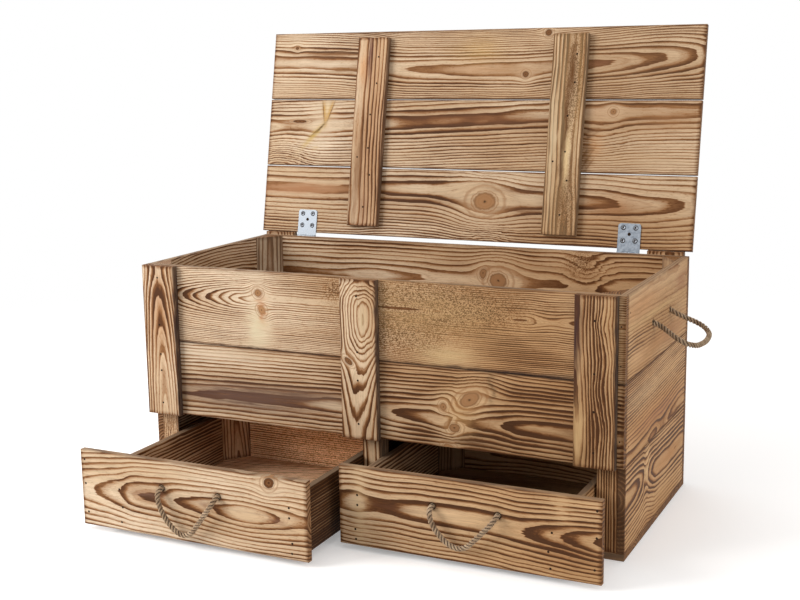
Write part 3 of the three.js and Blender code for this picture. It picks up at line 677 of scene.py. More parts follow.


# Where a board shows, its grain is given, with lengths in millimetres: the log's middle (axis) as
# (u, v), its depth as (u, rings), bumps as (u, v, half length, half width, rings) and knots as (u, v, radius,
# stretch, darkness, lean). Torn, bleached, stained, warm and burnt places are (u, v, half length, half width,
# amount), and dyed and shaded ones have a colour after that, and a lean if they are straight strokes: most
# are dyes, and the dark strips down the battens' right edge faces are painted shade. ring is the width of a
# year's wood, narrow how fast it shrinks away from the middle, late how early in the year the dark wood
# starts, scorch how hard the flame was held, tone the lightness, and outward -1 turns the years round.
BOARDS = {
    "lid_plank_front": dict(
        ring=8.5, narrow=0.1, seed=1, scorch=0.8, late=0.1,
        axis=[(-500, 10), (-300, 3), (-160, -10), (100, -12), (200, -6), (310, 0), (480, 10)],
        depth=[(-500, 3.6), (-300, 3.5), (-160, 2.95), (0, 2.5), (100, 2.4), (200, 2.6), (310, 3.05),
               (430, 4), (490, 5), (500, 5.3)],
        fire=[(-380, 30, 80, 15, 0.4), (-100, -60, 100, 20, 0.3), (400, 0, 120, 40, 0.35)],
        knots=[(122, -23, 6.5, 1.1, 0.8), (168, 66, 7.5, 1, 0.8), (-450, 42, 4, 1.2, 0.9)],
        bleach=[(-400, 4, 100, 12, 0.8), (-440, -45, 120, 30, 0.4), (-450, 50, 100, 30, 0.5),
                (-20, -11, 130, 10, 0.35)],
        warm=[(20, -12, 120, 12, 0.5)],
        dyed_and_shaded=[(10, 30, 60, 28, 0.35, (200, 160, 96)), (60, -12, 100, 12, 0.45, (150, 112, 72)),
              (-360, 26, 70, 6, 0.7, (136, 98, 66)), (-330, -12, 60, 5, 0.6, (140, 104, 70)),
              (360, 0, 180, 200, 0.2, (128, 96, 66)), (280, -2, 30, 8, 0.4, (140, 92, 66))],
    ),
    "lid_plank_middle": dict(
        ring=8.8, narrow=0.03, seed=2, scorch=0.84,
        axis=[(-500, 12), (-300, 20), (-150, 26), (0, 34), (180, 44), (300, 50), (500, 55)],
        depth=[(-500, 2), (-430, 2.5), (-360, 2.1), (-200, 2.35), (-50, 2.55), (80, 2.55), (200, 2.4),
               (340, 2.22), (450, 2.35), (500, 2.4)],
        bumps=[(-480, -75, 70, 50, 4.5), (300, -10, 50, 40, -1.6)],
        fire=[(0, 34, 200, 20, 0.4), (300, -20, 60, 50, 0.3), (-400, 0, 80, 80, -0.15)],
        knots=[(-430, 26, 3.7, 5, 1), (322, 52, 6.5, 1.1, 0.25)],
        bleach=[(-370, 30, 40, 70, 0.7), (300, -20, 30, 50, 0.5), (420, -55, 100, 22, 0.6)],
        dyed_and_shaded=[(-366, 49, 26, 4.8, 0.95, (182, 138, 72), -1.42),
              (-353, 49, 27, 4.8, 0.95, (182, 138, 72), 1.21),
              (-369, 50, 24, 1.4, 0.9, (104, 68, 34), -1.42), (-349, 49, 25, 1.4, 0.9, (104, 68, 34), 1.21),
              (-359, 56, 18, 6, 0.5, (216, 190, 142), 1.5), (-389, -4, 36, 6.2, 0.9, (190, 158, 88), 0.8),
              (-374, 11, 17, 2.4, 0.95, (78, 54, 30), 0.8), (-389, 0, 16, 1.6, 0.8, (110, 78, 42), 0.72),
              (-385, -36, 10, 5, 0.3, (206, 172, 120), 0.3), (272, -49, 26, 2.4, 0.8, (98, 60, 34), 1.05),
              (264, -40, 14, 2.4, 0.9, (88, 52, 30), 1.05), (279, -58, 16, 2, 0.6, (110, 70, 40), 1),
              (285, -20, 18, 28, 0.4, (190, 134, 84)), (20, 34, 170, 11, 0.6, (122, 80, 52)),
              (272, -40, 8, 30, 0.7, (104, 68, 38)), (278, 12, 18, 4, 0.7, (96, 60, 36), 0.2),
              (276, 0, 16, 3, 0.7, (96, 60, 36), 0.5), (440, 35, 60, 22, 0.5, (158, 112, 74)),
              (360, -45, 120, 20, 0.3, (170, 132, 88)), (300, 50, 50, 18, 0.3, (178, 130, 90)),
              (380, 0, 160, 200, 0.18, (132, 92, 54))],
    ),
    "lid_plank_rear": dict(
        ring=9.8, narrow=0.04, seed=3, scorch=0.84, late=0.03,
        axis=[(-500, 28), (-300, 27), (-185, 33), (-100, 33), (0, 25), (100, 17), (200, 17), (300, 18),
              (400, 14), (500, 18)],
        depth=[(-500, 2.7), (-300, 2.75), (-200, 2.55), (-100, 2.2), (0, 2), (100, 2.15), (200, 2.2),
               (300, 2.5), (365, 3), (420, 3.3), (490, 3.97), (500, 4.1)],
        fire=[(-100, 47, 100, 10, 0.6), (-100, 10, 90, 12, 0.5), (130, 36, 50, 10, 0.8),
              (130, -4, 50, 10, 0.8)],
        bumps=[(60, -75, 45, 30, 2.4)],
        warm=[(-400, 25, 120, 12, 0.7), (330, 8, 50, 20, 0.6)],
        knots=[(47, 10, 20, 1.35, 0.1), (42, 78, 10, 1.4, 0.7)],
        bleach=[(-100, 34, 90, 12, 0.6), (140, 18, 50, 10, 0.7), (-400, 26, 140, 12, 0.9),
                (-400, 50, 140, 20, 0.4)],
        dyed_and_shaded=[(-420, 24, 140, 11, 0.75, (160, 112, 78)), (330, 8, 50, 12, 0.4, (140, 92, 54)),
              (130, 36, 50, 6, 0.6, (112, 74, 46)), (130, -5, 50, 7, 0.6, (110, 72, 44))],
    ),
    "front_board_upper": dict(
        ring=4, narrow=0.004, seed=4, scorch=0.8,
        axis=[(-500, 18), (-300, 20), (-150, 26), (0, 26), (200, 22), (500, 24)],
        depth=[(-500, 12), (-415, 8), (-385, 7), (-355, 6), (-330, 5), (-305, 4), (-280, 3), (-200, 2.2),
               (0, 2.1), (320, 2.2), (345, 3), (370, 3.4), (395, 3), (420, 2.6)],
        fire=[(250, 0, 200, 100, 0.75), (-380, 22, 60, 14, 0.7)],
        knots=[(-235, 35, 7.5, 1.1, 0.15), (-228, 3, 10.5, 0.75, 0, 0.3), (70, 26.5, 2.4, 19, 0.95),
               (308, 22, 2, 7, 0.95)],
        torn=[(120, 45, 140, 40, 1), (220, 30, 80, 30, 0.8), (70, -20, 100, 40, 0.95),
              (-70, 55, 18, 20, 0.7)],
        bleach=[(-235, -20, 30, 100, 0.95), (180, -55, 50, 25, 0.9), (100, 0, 100, 90, 0.2)],
        dyed_and_shaded=[(-238, -35, 20, 40, 0.8, (208, 194, 160)), (-228, 1, 9, 22, 0.85, (184, 112, 58)),
              (-235, 35, 10, 8, 0.6, (140, 84, 52)), (160, -55, 50, 18, 0.5, (196, 172, 126)),
              (120, 20, 170, 60, 0.4, (176, 142, 94)), (340, -79, 170, 6.5, 1, (46, 34, 30)),
              (100, -79, 200, 3, 0.9, (58, 42, 34)), (-300, -79, 300, 3.2, 0.9, (74, 52, 42))],
    ),
    "front_board_middle": dict(
        ring=7.8, narrow=0.008, seed=5, scorch=0.85, late=0.04,
        axis=[(-500, -30), (-300, -25), (-135, -22), (0, -20), (100, -20), (300, -22), (500, -23)],
        depth=[(-500, 3.2), (-420, 2.95), (-300, 2.75), (-200, 2.62), (-135, 2.42), (-60, 2.1), (-30, 2.4),
               (20, 3.2), (42, 2.98), (75, 2.75), (110, 2.5), (150, 2.2), (175, 2.9), (195, 3.9),
               (235, 3.4), (270, 2.98), (290, 2.6), (305, 2.25), (360, 2.05), (420, 2.05)],
        fire=[(250, 0, 220, 120, 1), (300, 40, 200, 30, 0.5)],
        knots=[(210, 20, 12.5, 1.8, 0.12, 0.5), (180, -31, 11.5, 1, 0.25), (158, 4, 6.8, 1, 0.2),
               (168, -72, 9, 1.2, 0.1)],
        bleach=[(-90, -22, 50, 8, 0.9), (350, -21, 40, 6, 0.7), (-300, 55, 200, 25, 0.8),
                (190, -5, 35, 45, 0.6), (-350, -60, 120, 12, 0.4)],
        dyed_and_shaded=[(-270, -24, 150, 25, 1, (98, 72, 60)), (-140, -6, 90, 12, 0.8, (110, 84, 68)),
              (220, -60, 40, 10, 0.6, (86, 54, 32)), (340, 79, 170, 4, 0.9, (50, 38, 32)),
              (187, -8, 30, 40, 0.35, (208, 164, 108)), (255, 45, 6, 30, 0.6, (84, 62, 40)),
              (420, -30, 50, 30, 0.35, (92, 60, 36))],
    ),
    "drawer_left_front": dict(
        ring=7.8, narrow=0.014, seed=6, scorch=0.68,
        axis=[(-500, -3), (-300, 2), (-130, -3), (0, -2)],
        depth=[(-500, 7.4), (-470, 7), (-410, 6), (-375, 5), (-310, 4.5), (-290, 4), (-250, 3.5), (-215, 3),
               (-170, 2.45), (-130, 2.05), (-90, 2.45), (-55, 3), (0, 3.7)],
        fire=[(-450, 0, 35, 40, -0.3), (-355, 3, 30, 15, 0.45), (-70, -4, 28, 14, 0.75),
              (-200, 0, 35, 14, 0.35), (-300, -55, 200, 20, -0.2)],
        knots=[(-80, 63, 9.8, 1.15, 1, 0.5)],
        bleach=[(-130, -3, 30, 10, 0.9), (-300, -60, 200, 20, 0.35), (-300, 60, 250, 22, 0.5)],
        dyed_and_shaded=[(-313.5, 22, 8.8, 8.8, 0.9, (70, 46, 30)), (-189.5, 22, 8.8, 8.8, 0.9, (70, 46, 30)),
              (-350, 6, 30, 6, 0.5, (128, 94, 78)), (-68, -6, 20, 6, 0.6, (122, 86, 66)),
              (-220, 4, 12, 6, 0.5, (136, 102, 84))],
    ),
    "drawer_right_front": dict(
        ring=7.8, narrow=0.008, seed=7, scorch=0.88,
        axis=[(0, 10), (100, 8), (200, 8), (300, 6), (360, 1), (500, 1)],
        depth=[(0, 4.6), (35, 4.25), (60, 4.6), (100, 4.82), (130, 4.6), (160, 4.35), (200, 4.25),
               (300, 4.15), (350, 4.05), (362, 3.97), (400, 3.4), (430, 2.97), (460, 2.4), (485, 1.97),
               (500, 1.6)],
        fire=[(440, 0, 80, 35, 0.8)],
        bleach=[(240, 8, 70, 10, 0.8), (420, 0, 20, 8, 0.5), (45, 10, 18, 80, 0.5), (430, 55, 14, 30, 0.7)],
        dyed_and_shaded=[(189.5, 22, 8.8, 8.8, 0.9, (62, 40, 26)), (313.5, 22, 8.8, 8.8, 0.9, (62, 40, 26)),
              (100, 8, 45, 4.5, 0.8, (88, 54, 34)), (45, 0, 14, 80, 0.25, (214, 186, 140))],
    ),
    "back_board_upper": dict(
        ring=8.5, seed=8, scorch=0.85,
        axis=[(-500, 0), (-200, 0), (100, 0), (300, 8), (500, 10)],
        depth=[(-500, 2.75), (-300, 2.7), (-220, 2.35), (-150, 2.6), (-80, 2.9), (-60, 3.1), (0, 3.3),
               (100, 3.2), (170, 3.6), (270, 3.8), (340, 3.2), (500, 3.6)],
        bumps=[(290, 40, 40, 30, 2.6)],
        knots=[(90, 4, 18, 1.15, 0.2), (55, 12, 7, 1.2, 0.3)],
        torn=[(275, 50, 30, 30, 0.7)],
    ),
    "front_batten_left": dict(
        ring=5.6, seed=9, scorch=0.62, late=0.32, tone=1.05, outward=-1,
        axis=[(0, 0), (300, 4)],
        depth=[(0, 6.1), (60, 5), (125, 4), (185, 3), (235, 2.2), (310, 1.6)],
        warm=[(100, 0, 80, 30, 0.5)],
        fire=[(90, 4, 60, 20, 0.4)],
        # painted shade: a near-black strip down the right edge face
        dyed_and_shaded=[(150, 40, 400, 4.5, 0.9, (52, 40, 40))],
    ),
    "front_batten_middle": dict(
        ring=5.2, seed=10, scorch=0.84, tone=0.96,
        axis=[(0, 10), (90, 12), (140, 6), (200, -2), (310, -4)],
        depth=[(0, 8.4), (15, 7.2), (30, 5.4), (42, 3.9), (70, 3.05), (100, 3.7), (118, 5), (138, 6.6),
               (155, 7.8), (180, 8.9), (215, 9.9), (260, 10.8), (310, 11.4)],
        fire=[(200, -10, 70, 30, 0.4), (60, 10, 60, 50, -0.22)],
        knots=[(158, -21, 5.5, 1.9, 0.75, 0.9)],
        bleach=[(75, 10, 20, 8, 0.6)],
        # the first row is painted shade, a dark strip down the right edge face
        dyed_and_shaded=[(150, 40, 400, 4.2, 0.85, (58, 44, 38)), (75, 11, 22, 7, 0.3, (186, 168, 128))],
    ),
    "front_batten_right": dict(
        ring=5.4, wander=35, seed=11, scorch=1.2, late=0.05,
        axis=[(0, -30), (300, -28)],
        depth=[(0, 2.8), (80, 2.7), (120, 2.2), (200, 2.1), (270, 2.6), (310, 2.9)],
        bumps=[(50, 12, 18, 16, 0.8), (110, 22, 22, 16, -0.7), (170, 6, 25, 16, 0.7),
               (240, 16, 30, 16, -0.8)],
        bleach=[(240, -30, 50, 9, 0.9), (130, -26, 30, 6, 0.7)],
        # the first row is painted shade, a near-black strip down the right edge face
        dyed_and_shaded=[(150, 40, 400, 5, 0.95, (42, 32, 28)), (70, -36, 85, 11, 0.95, (64, 43, 38)),
              (250, -30, 50, 9, 0.35, (206, 176, 126))],
    ),
    "lid_batten_left": dict(
        ring=8, seed=12, scorch=1.1, late=-0.04, tone=1.05,
        axis=[(0, -24), (200, -26), (430, -20)],
        depth=[(0, 2.35), (200, 2.2), (430, 2.4)],
        warm=[(200, 10, 300, 30, 0.5)],
        fire=[(50, 0, 60, 12, 0.5)],
        stain=[(70, -20, 40, 10, 0.6)],
        # the first row is painted shade, a dark strip down the right edge face
        dyed_and_shaded=[(200, 40, 500, 3.6, 0.6, (84, 58, 42)), (45, -6, 50, 4, 0.85, (88, 52, 50)),
              (270, -16, 50, 6, 0.75, (116, 80, 52)), (340, -22, 80, 10, 0.7, (130, 92, 62)),
              (390, 0, 40, 10, 0.4, (134, 92, 66))],
    ),
    "lid_batten_right": dict(
        ring=6.6, seed=13, scorch=1.5, tone=1.05,
        axis=[(0, 10), (200, 6), (430, 12)],
        depth=[(0, 2.7), (120, 2.8), (200, 3.2), (300, 3.3), (360, 2.8), (430, 2.6)],
        fire=[(250, 0, 100, 12, 0.6)],
        torn=[(70, 14, 60, 14, 1.3), (150, 12, 70, 12, 1.2), (360, 12, 70, 18, 1.2)],
        bleach=[(260, 12, 50, 6, 0.7), (250, -24, 140, 10, 0.5)],
        # the first row is painted shade, a dark strip down the right edge face
        dyed_and_shaded=[(200, 40, 500, 3.6, 0.6, (84, 58, 42)), (200, 0, 500, 50, 0.2, (212, 184, 134)),
              (80, 8, 70, 10, 0.9, (100, 64, 34)), (150, 2, 80, 5, 0.8, (102, 66, 34)),
              (360, 6, 50, 14, 0.7, (116, 80, 46)), (130, 26, 120, 4, 0.5, (140, 104, 58)),
              (210, 2, 80, 3.2, 0.85, (86, 52, 26)), (270, -5, 50, 2.8, 0.85, (86, 52, 26)),
              (280, 18, 60, 2.8, 0.7, (96, 60, 32)), (270, 8, 45, 6, 0.9, (218, 190, 142)),
              (240, -26, 120, 7, 0.4, (208, 190, 156))],
    ),
    "drawer_left_side_right": dict(
        # low tone and heavy scorch paint shade in: this face sits in shade between the drawers under the
        # chest
        ring=5.2, seed=21, scorch=2.2, late=0.3, tone=0.54,
        axis=[(0, 90)],
        depth=[(0, 6)],
    ),
    "drawer_left_side_left": dict(
        ring=5.8, seed=22, scorch=1.4, tone=0.88,
        axis=[(0, 85)],
        depth=[(0, 6)],
        warm=[(0, 0, 300, 200, 0.6)],
    ),
    "drawer_left_bottom": dict(
        # tone 1.85 paints light in: the shaded bottom inside the drawer is lifted paler
        ring=8.5, seed=27, scorch=1, tone=1.85,
        axis=[(-450, -50), (-50, 20)],
        depth=[(-450, 0.5), (-250, 2.5), (-50, 4.5)],
        stain=[(-250, 0, 400, 400, 0.35)],
    ),
    "drawer_left_corner_block_left": dict(
        # tone 1.5 paints light into the shaded corner block inside the drawer
        tone=1.5,
        stain=[(70, 0, 300, 300, 0.4)],
    ),
    "drawer_right_side_left": dict(
        ring=6.2, seed=23, scorch=1.2,
        axis=[(0, 90)],
        depth=[(0, 6)],
    ),
    "drawer_left_back": dict(
        # tone 1.9 paints light in: the shaded back inside the drawer is lifted paler
        ring=4.5, seed=24, scorch=0.6, tone=1.9,
        axis=[(0, 70)],
        depth=[(0, 5)],
        torn=[(-200, 0, 200, 100, 0.35)],
        stain=[(-200, 0, 400, 200, 0.35)],
    ),
    "corner_post_front_right": dict(
        ring=4.6, seed=25, scorch=1.1,
        axis=[(0, 80)],
        depth=[(0, 6)],
    ),
    "corner_post_front_left": dict(
        ring=4.4, seed=26, scorch=0.6, tone=1.05,
        axis=[(0, 80)],
        depth=[(0, 6)],
        torn=[(400, 0, 100, 100, 0.5)],
    ),
    "side_right_board_upper": dict(
        ring=6, seed=14, scorch=0.75, tone=1.03,
        axis=[(-300, 90), (300, 70)],
        depth=[(-300, 9), (300, 10)],
        bleach=[(0, 50, 400, 35, 0.95), (0, -55, 400, 22, 0.9), (150, -10, 120, 30, 0.7)],
        warm=[(-120, 45, 160, 25, 0.5), (0, -50, 200, 20, 0.4)],
        dyed_and_shaded=[(0, 14, 200, 6, 0.5, (214, 178, 128)), (170, 40, 50, 20, 0.5, (150, 100, 74)),
              (120, -50, 90, 20, 0.35, (158, 108, 80)), (-160, -45, 50, 12, 0.3, (222, 178, 134))],
        torn=[(100, 0, 150, 60, 0.25)],
    ),
    "side_right_board_middle": dict(
        ring=8, narrow=0.03, wander=20, seed=15, scorch=1, tone=1.14,
        axis=[(-250, -75), (0, -70), (250, -60)],
        depth=[(-250, 3.4), (-80, 3), (-30, 2.5), (30, 3.2), (100, 2.6), (250, 2.4)],
        warm=[(0, -30, 200, 30, 0.5)],
        torn=[(-100, 20, 120, 30, 0.35)],
        dyed_and_shaded=[(20, -35, 160, 12, 0.4, (170, 122, 92)), (-100, 30, 120, 20, 0.3, (206, 178, 140))],
    ),
    "side_right_board_lower": dict(
        ring=8.2, narrow=0.012, wander=20, seed=16, scorch=1, tone=1.16,
        axis=[(-250, 14), (-140, 16), (-80, 20), (0, 12), (250, 10)],
        depth=[(-250, 2.7), (-190, 2.9), (-150, 3.1), (-100, 4), (-80, 4.9), (-55, 4), (-30, 3.3),
               (0, 2.84), (120, 2.84), (250, 2.82)],
        bleach=[(-70, 40, 15, 40, 0.8), (50, -50, 120, 20, 0.5)],
        warm=[(100, 10, 120, 15, 0.5)],
        dyed_and_shaded=[(-222, 0, 1.5, 400, 0.75, (86, 62, 44), 0.001)],
    ),
}
# how many of the first values of each row are lengths
ROW_LENGTHS = {"axis": 2, "depth": 1, "knots": 3, "bumps": 4, "torn": 4, "bleach": 4, "stain": 4, "warm": 4,
               "fire": 4, "dyed_and_shaded": 4}


def in_metres(settings):
    """Board settings with their lengths turned from millimetres into metres."""
    changed = dict(settings)
    for key in ("ring", "wander"):
        if key in changed:
            changed[key] /= 1000
    for key, lengths in ROW_LENGTHS.items():
        rows = changed.get(key, ())
        changed[key] = [tuple(v / 1000 for v in row[:lengths]) + tuple(row[lengths:]) for row in rows]
    return changed


def dress_boards():
    for n, node in enumerate(sorted(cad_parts)):
        if node.startswith("hinge") or node.endswith("rope"):
            continue
        chance = random.Random(n * 7 + 1)
        spots = (-500, -250, 0, 250, 500)
        deep = chance.uniform(2.5, 6)
        settings = dict(
            axis=[(u, chance.uniform(-20, 20)) for u in spots],
            ring=chance.uniform(5.5, 8),
            seed=n,
            depth=[(u, deep + chance.uniform(-1.6, 1.6)) for u in spots],
            scorch=chance.uniform(0.8, 1.05),
            tone=chance.uniform(0.94, 1.0),
        )
        settings.update(BOARDS.get(node, {}))
        origin, along, out = frame_of(node)
        half = extent_of(node, origin, along, out)
        dress(node, make_wood("pine_" + node, origin, along, out, half, **in_metres(settings)))


dress_boards()


# ------------------------------------------------------------------ rope, zinc and nail finishes, with painted light and shade
def rope_material():
    material, g = empty_material("jute")
    lay = g.node("ShaderNodeUVMap", uv_map="lay").outputs[0]
    place = g.node("ShaderNodeTexCoord").outputs["Object"]
    along, around, _ = g.split(lay)
    skew = g.math("FRACT", g.math("MULTIPLY_ADD", along, -26.0, around))
    yarn = g.noise(g.join(g.times(along, 60.0), g.times(skew, 26.0), 0.0), 3, 0.65)
    blotch = g.noise(place, 2, 0.5, scale=55)
    fuzz = g.noise(place, 2, 0.6, scale=1900)
    colour = g.mix(g.step(yarn, 0.3, 0.7), srgb(108, 82, 60), srgb(230, 202, 168))
    colour = g.mix(g.step(blotch, 0.35, 0.7, 0.0, 0.55), colour, srgb(128, 98, 70))
    colour = g.mix(g.step(fuzz, 0.62, 0.8, 0.0, 0.35), colour, srgb(216, 192, 158))
    # painted shade: the strands darken on their inner sides, in the crevices where they press together
    groove_shade = g.step(g.math("COSINE", g.times(around, 2 * math.pi)), -0.1, 0.85, 0.6, 0.0)
    return finished(material, g, {
        "Base Color": g.mix(groove_shade, colour, srgb(52, 34, 22)), "Roughness": 0.95, "Sheen Weight": 0.08,
        "Specular IOR Level": 0.1, "Normal": g.bump(0.8, 0.0007, g.plus(yarn, g.times(fuzz, 0.5))),
    })


def zinc_material():
    material, g = empty_material("zinc")
    place = g.node("ShaderNodeTexCoord").outputs["Object"]
    cloud = g.noise(place, 3, 0.6, scale=140)
    # painted light: paler zinc at the left, darker at the right, a painted highlight and painted shade
    shaded_zinc = g.mix(g.step(cloud, 0.3, 0.7), srgb(120, 127, 136), srgb(156, 163, 171))
    lit_zinc = g.mix(g.step(cloud, 0.3, 0.7), srgb(134, 140, 147), srgb(164, 170, 176))
    # mask from the painted highlight at the left to the painted shade at the right
    painted_shade_right = g.step(g.split(place)[0], -0.3, 0.3)
    return finished(material, g, {
        "Base Color": g.mix(painted_shade_right, lit_zinc, shaded_zinc), "Metallic": 0.9,
        "Roughness": g.step(cloud, 0.3, 0.7, 0.48, 0.64),
    })


# dark nail heads; the same dark colour paints the shade in screw countersinks, slots and the spare hole
def nail_and_shade_material():
    values = {"Base Color": srgb(46, 34, 26), "Specular IOR Level": 0.05, "Roughness": 0.9}
    return finished(*empty_material("nail"), values)


def steel_material():
    values = {"Base Color": srgb(128, 132, 138), "Metallic": 0.85, "Roughness": 0.38}
    return finished(*empty_material("screw"), values)


JUTE, ZINC, NAIL_AND_SHADE, STEEL = rope_material(), zinc_material(), nail_and_shade_material(), steel_material()
for rope in ROPES:
    rope.data.materials.append(JUTE)
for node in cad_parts:
    if node.startswith("hinge"):
        dress(node, ZINC)


# ------------------------------------------------------------------ nails and screws, with painted shade round and in the screws
HINGE_X, LID_BATTEN_X = {"left": -0.394, "right": 0.371}, {"left": -0.247, "right": 0.220}
UPPER_LEAF_IN, LOWER_LEAF_IN = 0.0012, 0.0015   # from the pin in to the leaves' screwed faces
SCREW_R, SCREW_RISE, SCREW_DISH = 0.0045, 0.0011, 0.0005
# dark discs that paint the shade round each screw and in the spare hole
SCREW_SHADE_RING_R, SPARE_HOLE_R, SHADE_DISC_RISE = 0.0056, 0.0036, 0.0001
SCREW_ACROSS, SCREW_AWAY, SPARE_HOLE_AWAY = 0.013, (0.026, 0.053), 0.0395   # from the pin
NAIL_RISE, HEAD_SIDES = 0.0002, 14
SLOT_HALF_LENGTH, SLOT_HALF_WIDTH, SLOT_LEVEL = 0.0031, 0.0007, 0.0008
BATTEN_NAIL_R, CORNER_NAIL_R, DRAWER_NAIL_R, SIDE_NAIL_R = 0.0021, 0.0015, 0.0022, 0.0018
BATTEN_NAILS = [   # x, heights
    (-0.463, (0.460, 0.363, 0.302, 0.268, 0.200)),
    (-0.012, (0.452, 0.345, 0.290, 0.205)),
    (0.449, (0.440, 0.346, 0.278, 0.204)),
]
CORNER_NAIL_X, CORNER_NAIL_HEIGHTS = 0.492, (0.225, 0.29, 0.36, 0.43)
DRAWER_NAILS = [   # x on the right drawer, mirrored on the left one, and height
    (0.491, 0.141), (0.491, 0.093), (0.488, 0.036), (0.412, 0.091), (0.406, 0.056), (0.410, 0.026),
    (0.040, 0.107), (0.040, 0.088), (0.035, 0.041), (0.036, 0.022),
]
SIDE_NAIL_Y, SIDE_NAIL_HEIGHTS = 0.208, (0.05, 0.13, 0.21, 0.29, 0.37, 0.45)
LID_NAIL_OUT = 0.0113
LID_NAILS = [   # up from the pin, across from the batten's middle
    (0.414, 0.016), (0.354, 0.015), (0.283, 0.004), (0.207, 0.004), (0.146, 0.012), (0.073, 0.001),
    (0.186, -0.022),
]


def button(verts, faces, centre, out, radius, height, dish):
    """A low round head standing on a face, with a hollow top if it has a dish."""
    sides = HEAD_SIDES
    out = Vector(out).normalized()
    side = out.orthogonal().normalized()
    up = out.cross(side)
    levels = ((1.0, 0.0), (0.98, height * 0.55), (0.78, height), (0.35, height - dish))
    first = len(verts)
    for share, lift in levels:
        for c in range(sides):
            a = 2 * math.pi * c / sides
            verts.append(centre + out * lift + (side * math.cos(a) + up * math.sin(a)) * radius * share)
    verts.append(centre + out * (height - dish))
    for level in range(len(levels) - 1):
        for c in range(sides):
            a, b = first + level * sides + c, first + level * sides + (c + 1) % sides
            faces.append((a, b, b + sides, a + sides))
    ring = first + (len(levels) - 1) * sides
    for c in range(sides):
        faces.append((ring + c, ring + (c + 1) % sides, len(verts) - 1))
    faces.append(tuple(first + c for c in reversed(range(sides))))


def make_heads(name, body, spots, out, radius, height, material, dish=0.0):
    verts, faces = [], []
    for spot in spots:
        button(verts, faces, Vector(spot), out, radius, height, dish)
    made = add_mesh(name, verts, faces, material)
    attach(made, body)


def make_crosses(name, body, spots, out):
    """The cross slots of screws, as two thin dark bars each: painted shade standing in for the recessed
    slots.
    """
    verts, faces = [], []
    across = out.cross(X)
    for n, spot in enumerate(spots):
        turn = n * 0.7 + 0.3
        one = X * math.cos(turn) + across * math.sin(turn)
        two = across * math.cos(turn) - X * math.sin(turn)
        for long_way, short_way, rise in ((one, two, 0.0), (two, one, 0.00003)):
            first = len(verts)
            for height in (SLOT_LEVEL - 0.0004, SLOT_LEVEL + 0.00012 + rise):
                for a, b in ((-1, -1), (1, -1), (1, 1), (-1, 1)):
                    flat = long_way * (a * SLOT_HALF_LENGTH) + short_way * (b * SLOT_HALF_WIDTH)
                    verts.append(Vector(spot) + flat + out * height)
            for face in ((0, 3, 2, 1), (4, 5, 6, 7), (0, 1, 5, 4), (1, 2, 6, 5), (2, 3, 7, 6), (3, 0, 4, 7)):
                faces.append(tuple(first + c for c in face))
    made = add_mesh(name, verts, faces, NAIL_AND_SHADE)
    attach(made, body)


def nail(name, body, spots, out, radius):
    make_heads(name, body, spots, out, radius, NAIL_RISE, NAIL_AND_SHADE)


def make_nails():
    batten = [(x, FRONT - BOARD, z) for x, heights in BATTEN_NAILS for z in heights]
    nail("nails_front", "carcass", batten, -Y, BATTEN_NAIL_R)
    corner = [(x, FRONT, z) for x in (-CORNER_NAIL_X, CORNER_NAIL_X) for z in CORNER_NAIL_HEIGHTS]
    nail("nails_corners", "carcass", corner, -Y, CORNER_NAIL_R)
    for sign, side in ((-1, "left"), (1, "right")):
        spots = [(sign * x, FRONT - PULLED_OUT[side], z) for x, z in DRAWER_NAILS]
        nail("nails_drawer_" + side, "drawer_" + side, spots, -Y, DRAWER_NAIL_R)
        ends = (-SIDE_NAIL_Y, SIDE_NAIL_Y)
        walls = [(sign * WIDTH / 2, end, z) for end in ends for z in SIDE_NAIL_HEIGHTS]
        nail("nails_side_" + side, "carcass", walls, X * sign, SIDE_NAIL_R)
    for name, x in LID_BATTEN_X.items():
        face = PIN + X * x + LID_OUT * LID_NAIL_OUT
        spots = [face + LID_UP * s + X * dx for s, dx in LID_NAILS]
        nail("nails_lid_" + name, "lid", spots, LID_OUT, BATTEN_NAIL_R)


def screw_heads(where, body, spots, out):
    # painted shade: a dark disc round each screw head, for its shaded countersink
    make_heads(f"screw_shade_rings_{where}", body, spots, out, SCREW_SHADE_RING_R, SHADE_DISC_RISE, NAIL_AND_SHADE)
    make_heads(f"screws_{where}", body, spots, out, SCREW_R, SCREW_RISE, STEEL, SCREW_DISH)
    make_crosses(f"screw_slot_shades_{where}", body, spots, out)


def make_screws():
    places = [(dx, s) for dx in (-SCREW_ACROSS, SCREW_ACROSS) for s in SCREW_AWAY]
    for name, x in HINGE_X.items():
        leaf = PIN + X * x - LID_OUT * UPPER_LEAF_IN
        screw_heads(name + "_lid", "lid", [leaf + X * dx + LID_UP * s for dx, s in places], LID_OUT)
        # painted shade: a dark disc where the empty screw hole in the leaf sits in shade
        hole = [leaf + LID_UP * SPARE_HOLE_AWAY]
        make_heads(f"spare_hole_shade_{name}", "lid", hole, LID_OUT, SPARE_HOLE_R, SHADE_DISC_RISE, NAIL_AND_SHADE)
        wall = [PIN + Vector((x + dx, -LOWER_LEAF_IN, -s)) for dx, s in places]
        screw_heads(name + "_wall", "carcass", wall, Y)


make_nails()
make_screws()

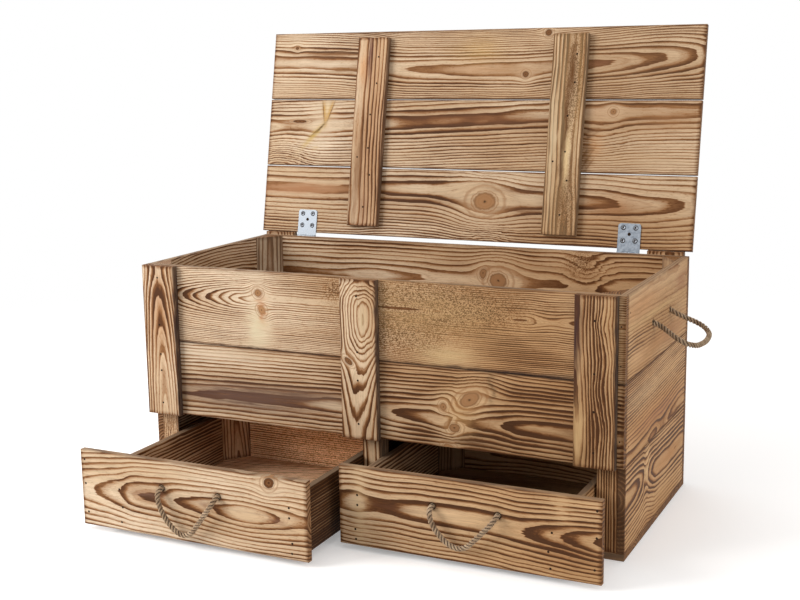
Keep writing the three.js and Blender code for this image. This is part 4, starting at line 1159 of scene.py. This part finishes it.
# ------------------------------------------------------------------ floor, light and background
ROOM_LIGHT, FLOOR_GLOW = 0.62, 0.29
FLOOR_SIZE, FLOOR_LEVEL, FADE_FROM, FADE_TO = 12, -0.0002, 1.3, 2.6
FLOOR_COLOUR, WHITE = (0.86, 0.85, 0.84, 1), (1, 1, 1, 1)
LIT_POINT = Vector((0, -0.1, 0.35))
LAMPS = [   # name, place, size, power
    ("key", (-2.6, -2.2, 1.8), 1.8, 108),
    ("fill", (3.3, -1.0, 1.5), 2.2, 24),
    ("top", (-0.6, 0.4, 3.2), 2.6, 34),
]


def seen_directly(g):
    """1 for rays that show the background to the eye: straight, mirrored in metal, or through glass."""
    path = g.node("ShaderNodeLightPath").outputs
    mirrored = g.math("MAXIMUM", path["Is Glossy Ray"], path["Is Transmission Ray"])
    return g.math("MAXIMUM", path["Is Camera Ray"], mirrored)


def white_floor():
    """Pale and matt, lit up a little to the camera, and fading out to the white background far away."""
    material, g = empty_material("floor")
    matt = g.fill(g.node("ShaderNodeBsdfDiffuse"), {"Color": FLOOR_COLOUR})
    strength = g.times(seen_directly(g), FLOOR_GLOW)
    glow = g.fill(g.node("ShaderNodeEmission"), {"Color": WHITE, "Strength": strength})
    lit = g.fill(g.node("ShaderNodeAddShader"), {0: matt, 1: glow})
    place = g.node("ShaderNodeTexCoord").outputs["Object"]
    far = g.step(g.vector("LENGTH", place), FADE_FROM, FADE_TO)
    clear = g.node("ShaderNodeBsdfTransparent").outputs[0]
    g.surface(g.fill(g.node("ShaderNodeMixShader"), {0: far, 1: lit, 2: clear}))
    return material


def make_world():
    world = bpy.data.worlds.new("studio")
    world.use_nodes = True
    world.node_tree.nodes.clear()
    g = Graph(world.node_tree)
    strength = g.blend_value(seen_directly(g), ROOM_LIGHT, 1.0)
    back = g.fill(g.node("ShaderNodeBackground"), {"Color": WHITE, "Strength": strength})
    g.plug(back, g.node("ShaderNodeOutputWorld").inputs["Surface"])
    scene.world = world


def make_studio():
    bpy.ops.mesh.primitive_plane_add(size=FLOOR_SIZE, location=(0, 0, FLOOR_LEVEL))
    floor = bpy.context.object
    floor.name = "floor"
    floor.data.materials.append(white_floor())
    for name, place, size, power in LAMPS:
        data = bpy.data.lights.new(name, "AREA")
        data.size = size
        data.energy = power
        lamp = bpy.data.objects.new(name, data)
        lamp.location = place
        lamp.rotation_euler = (LIT_POINT - Vector(place)).to_track_quat("-Z", "Y").to_euler()
        scene.collection.objects.link(lamp)
    make_world()
    scene.view_settings.view_transform = "Standard"


make_studio()
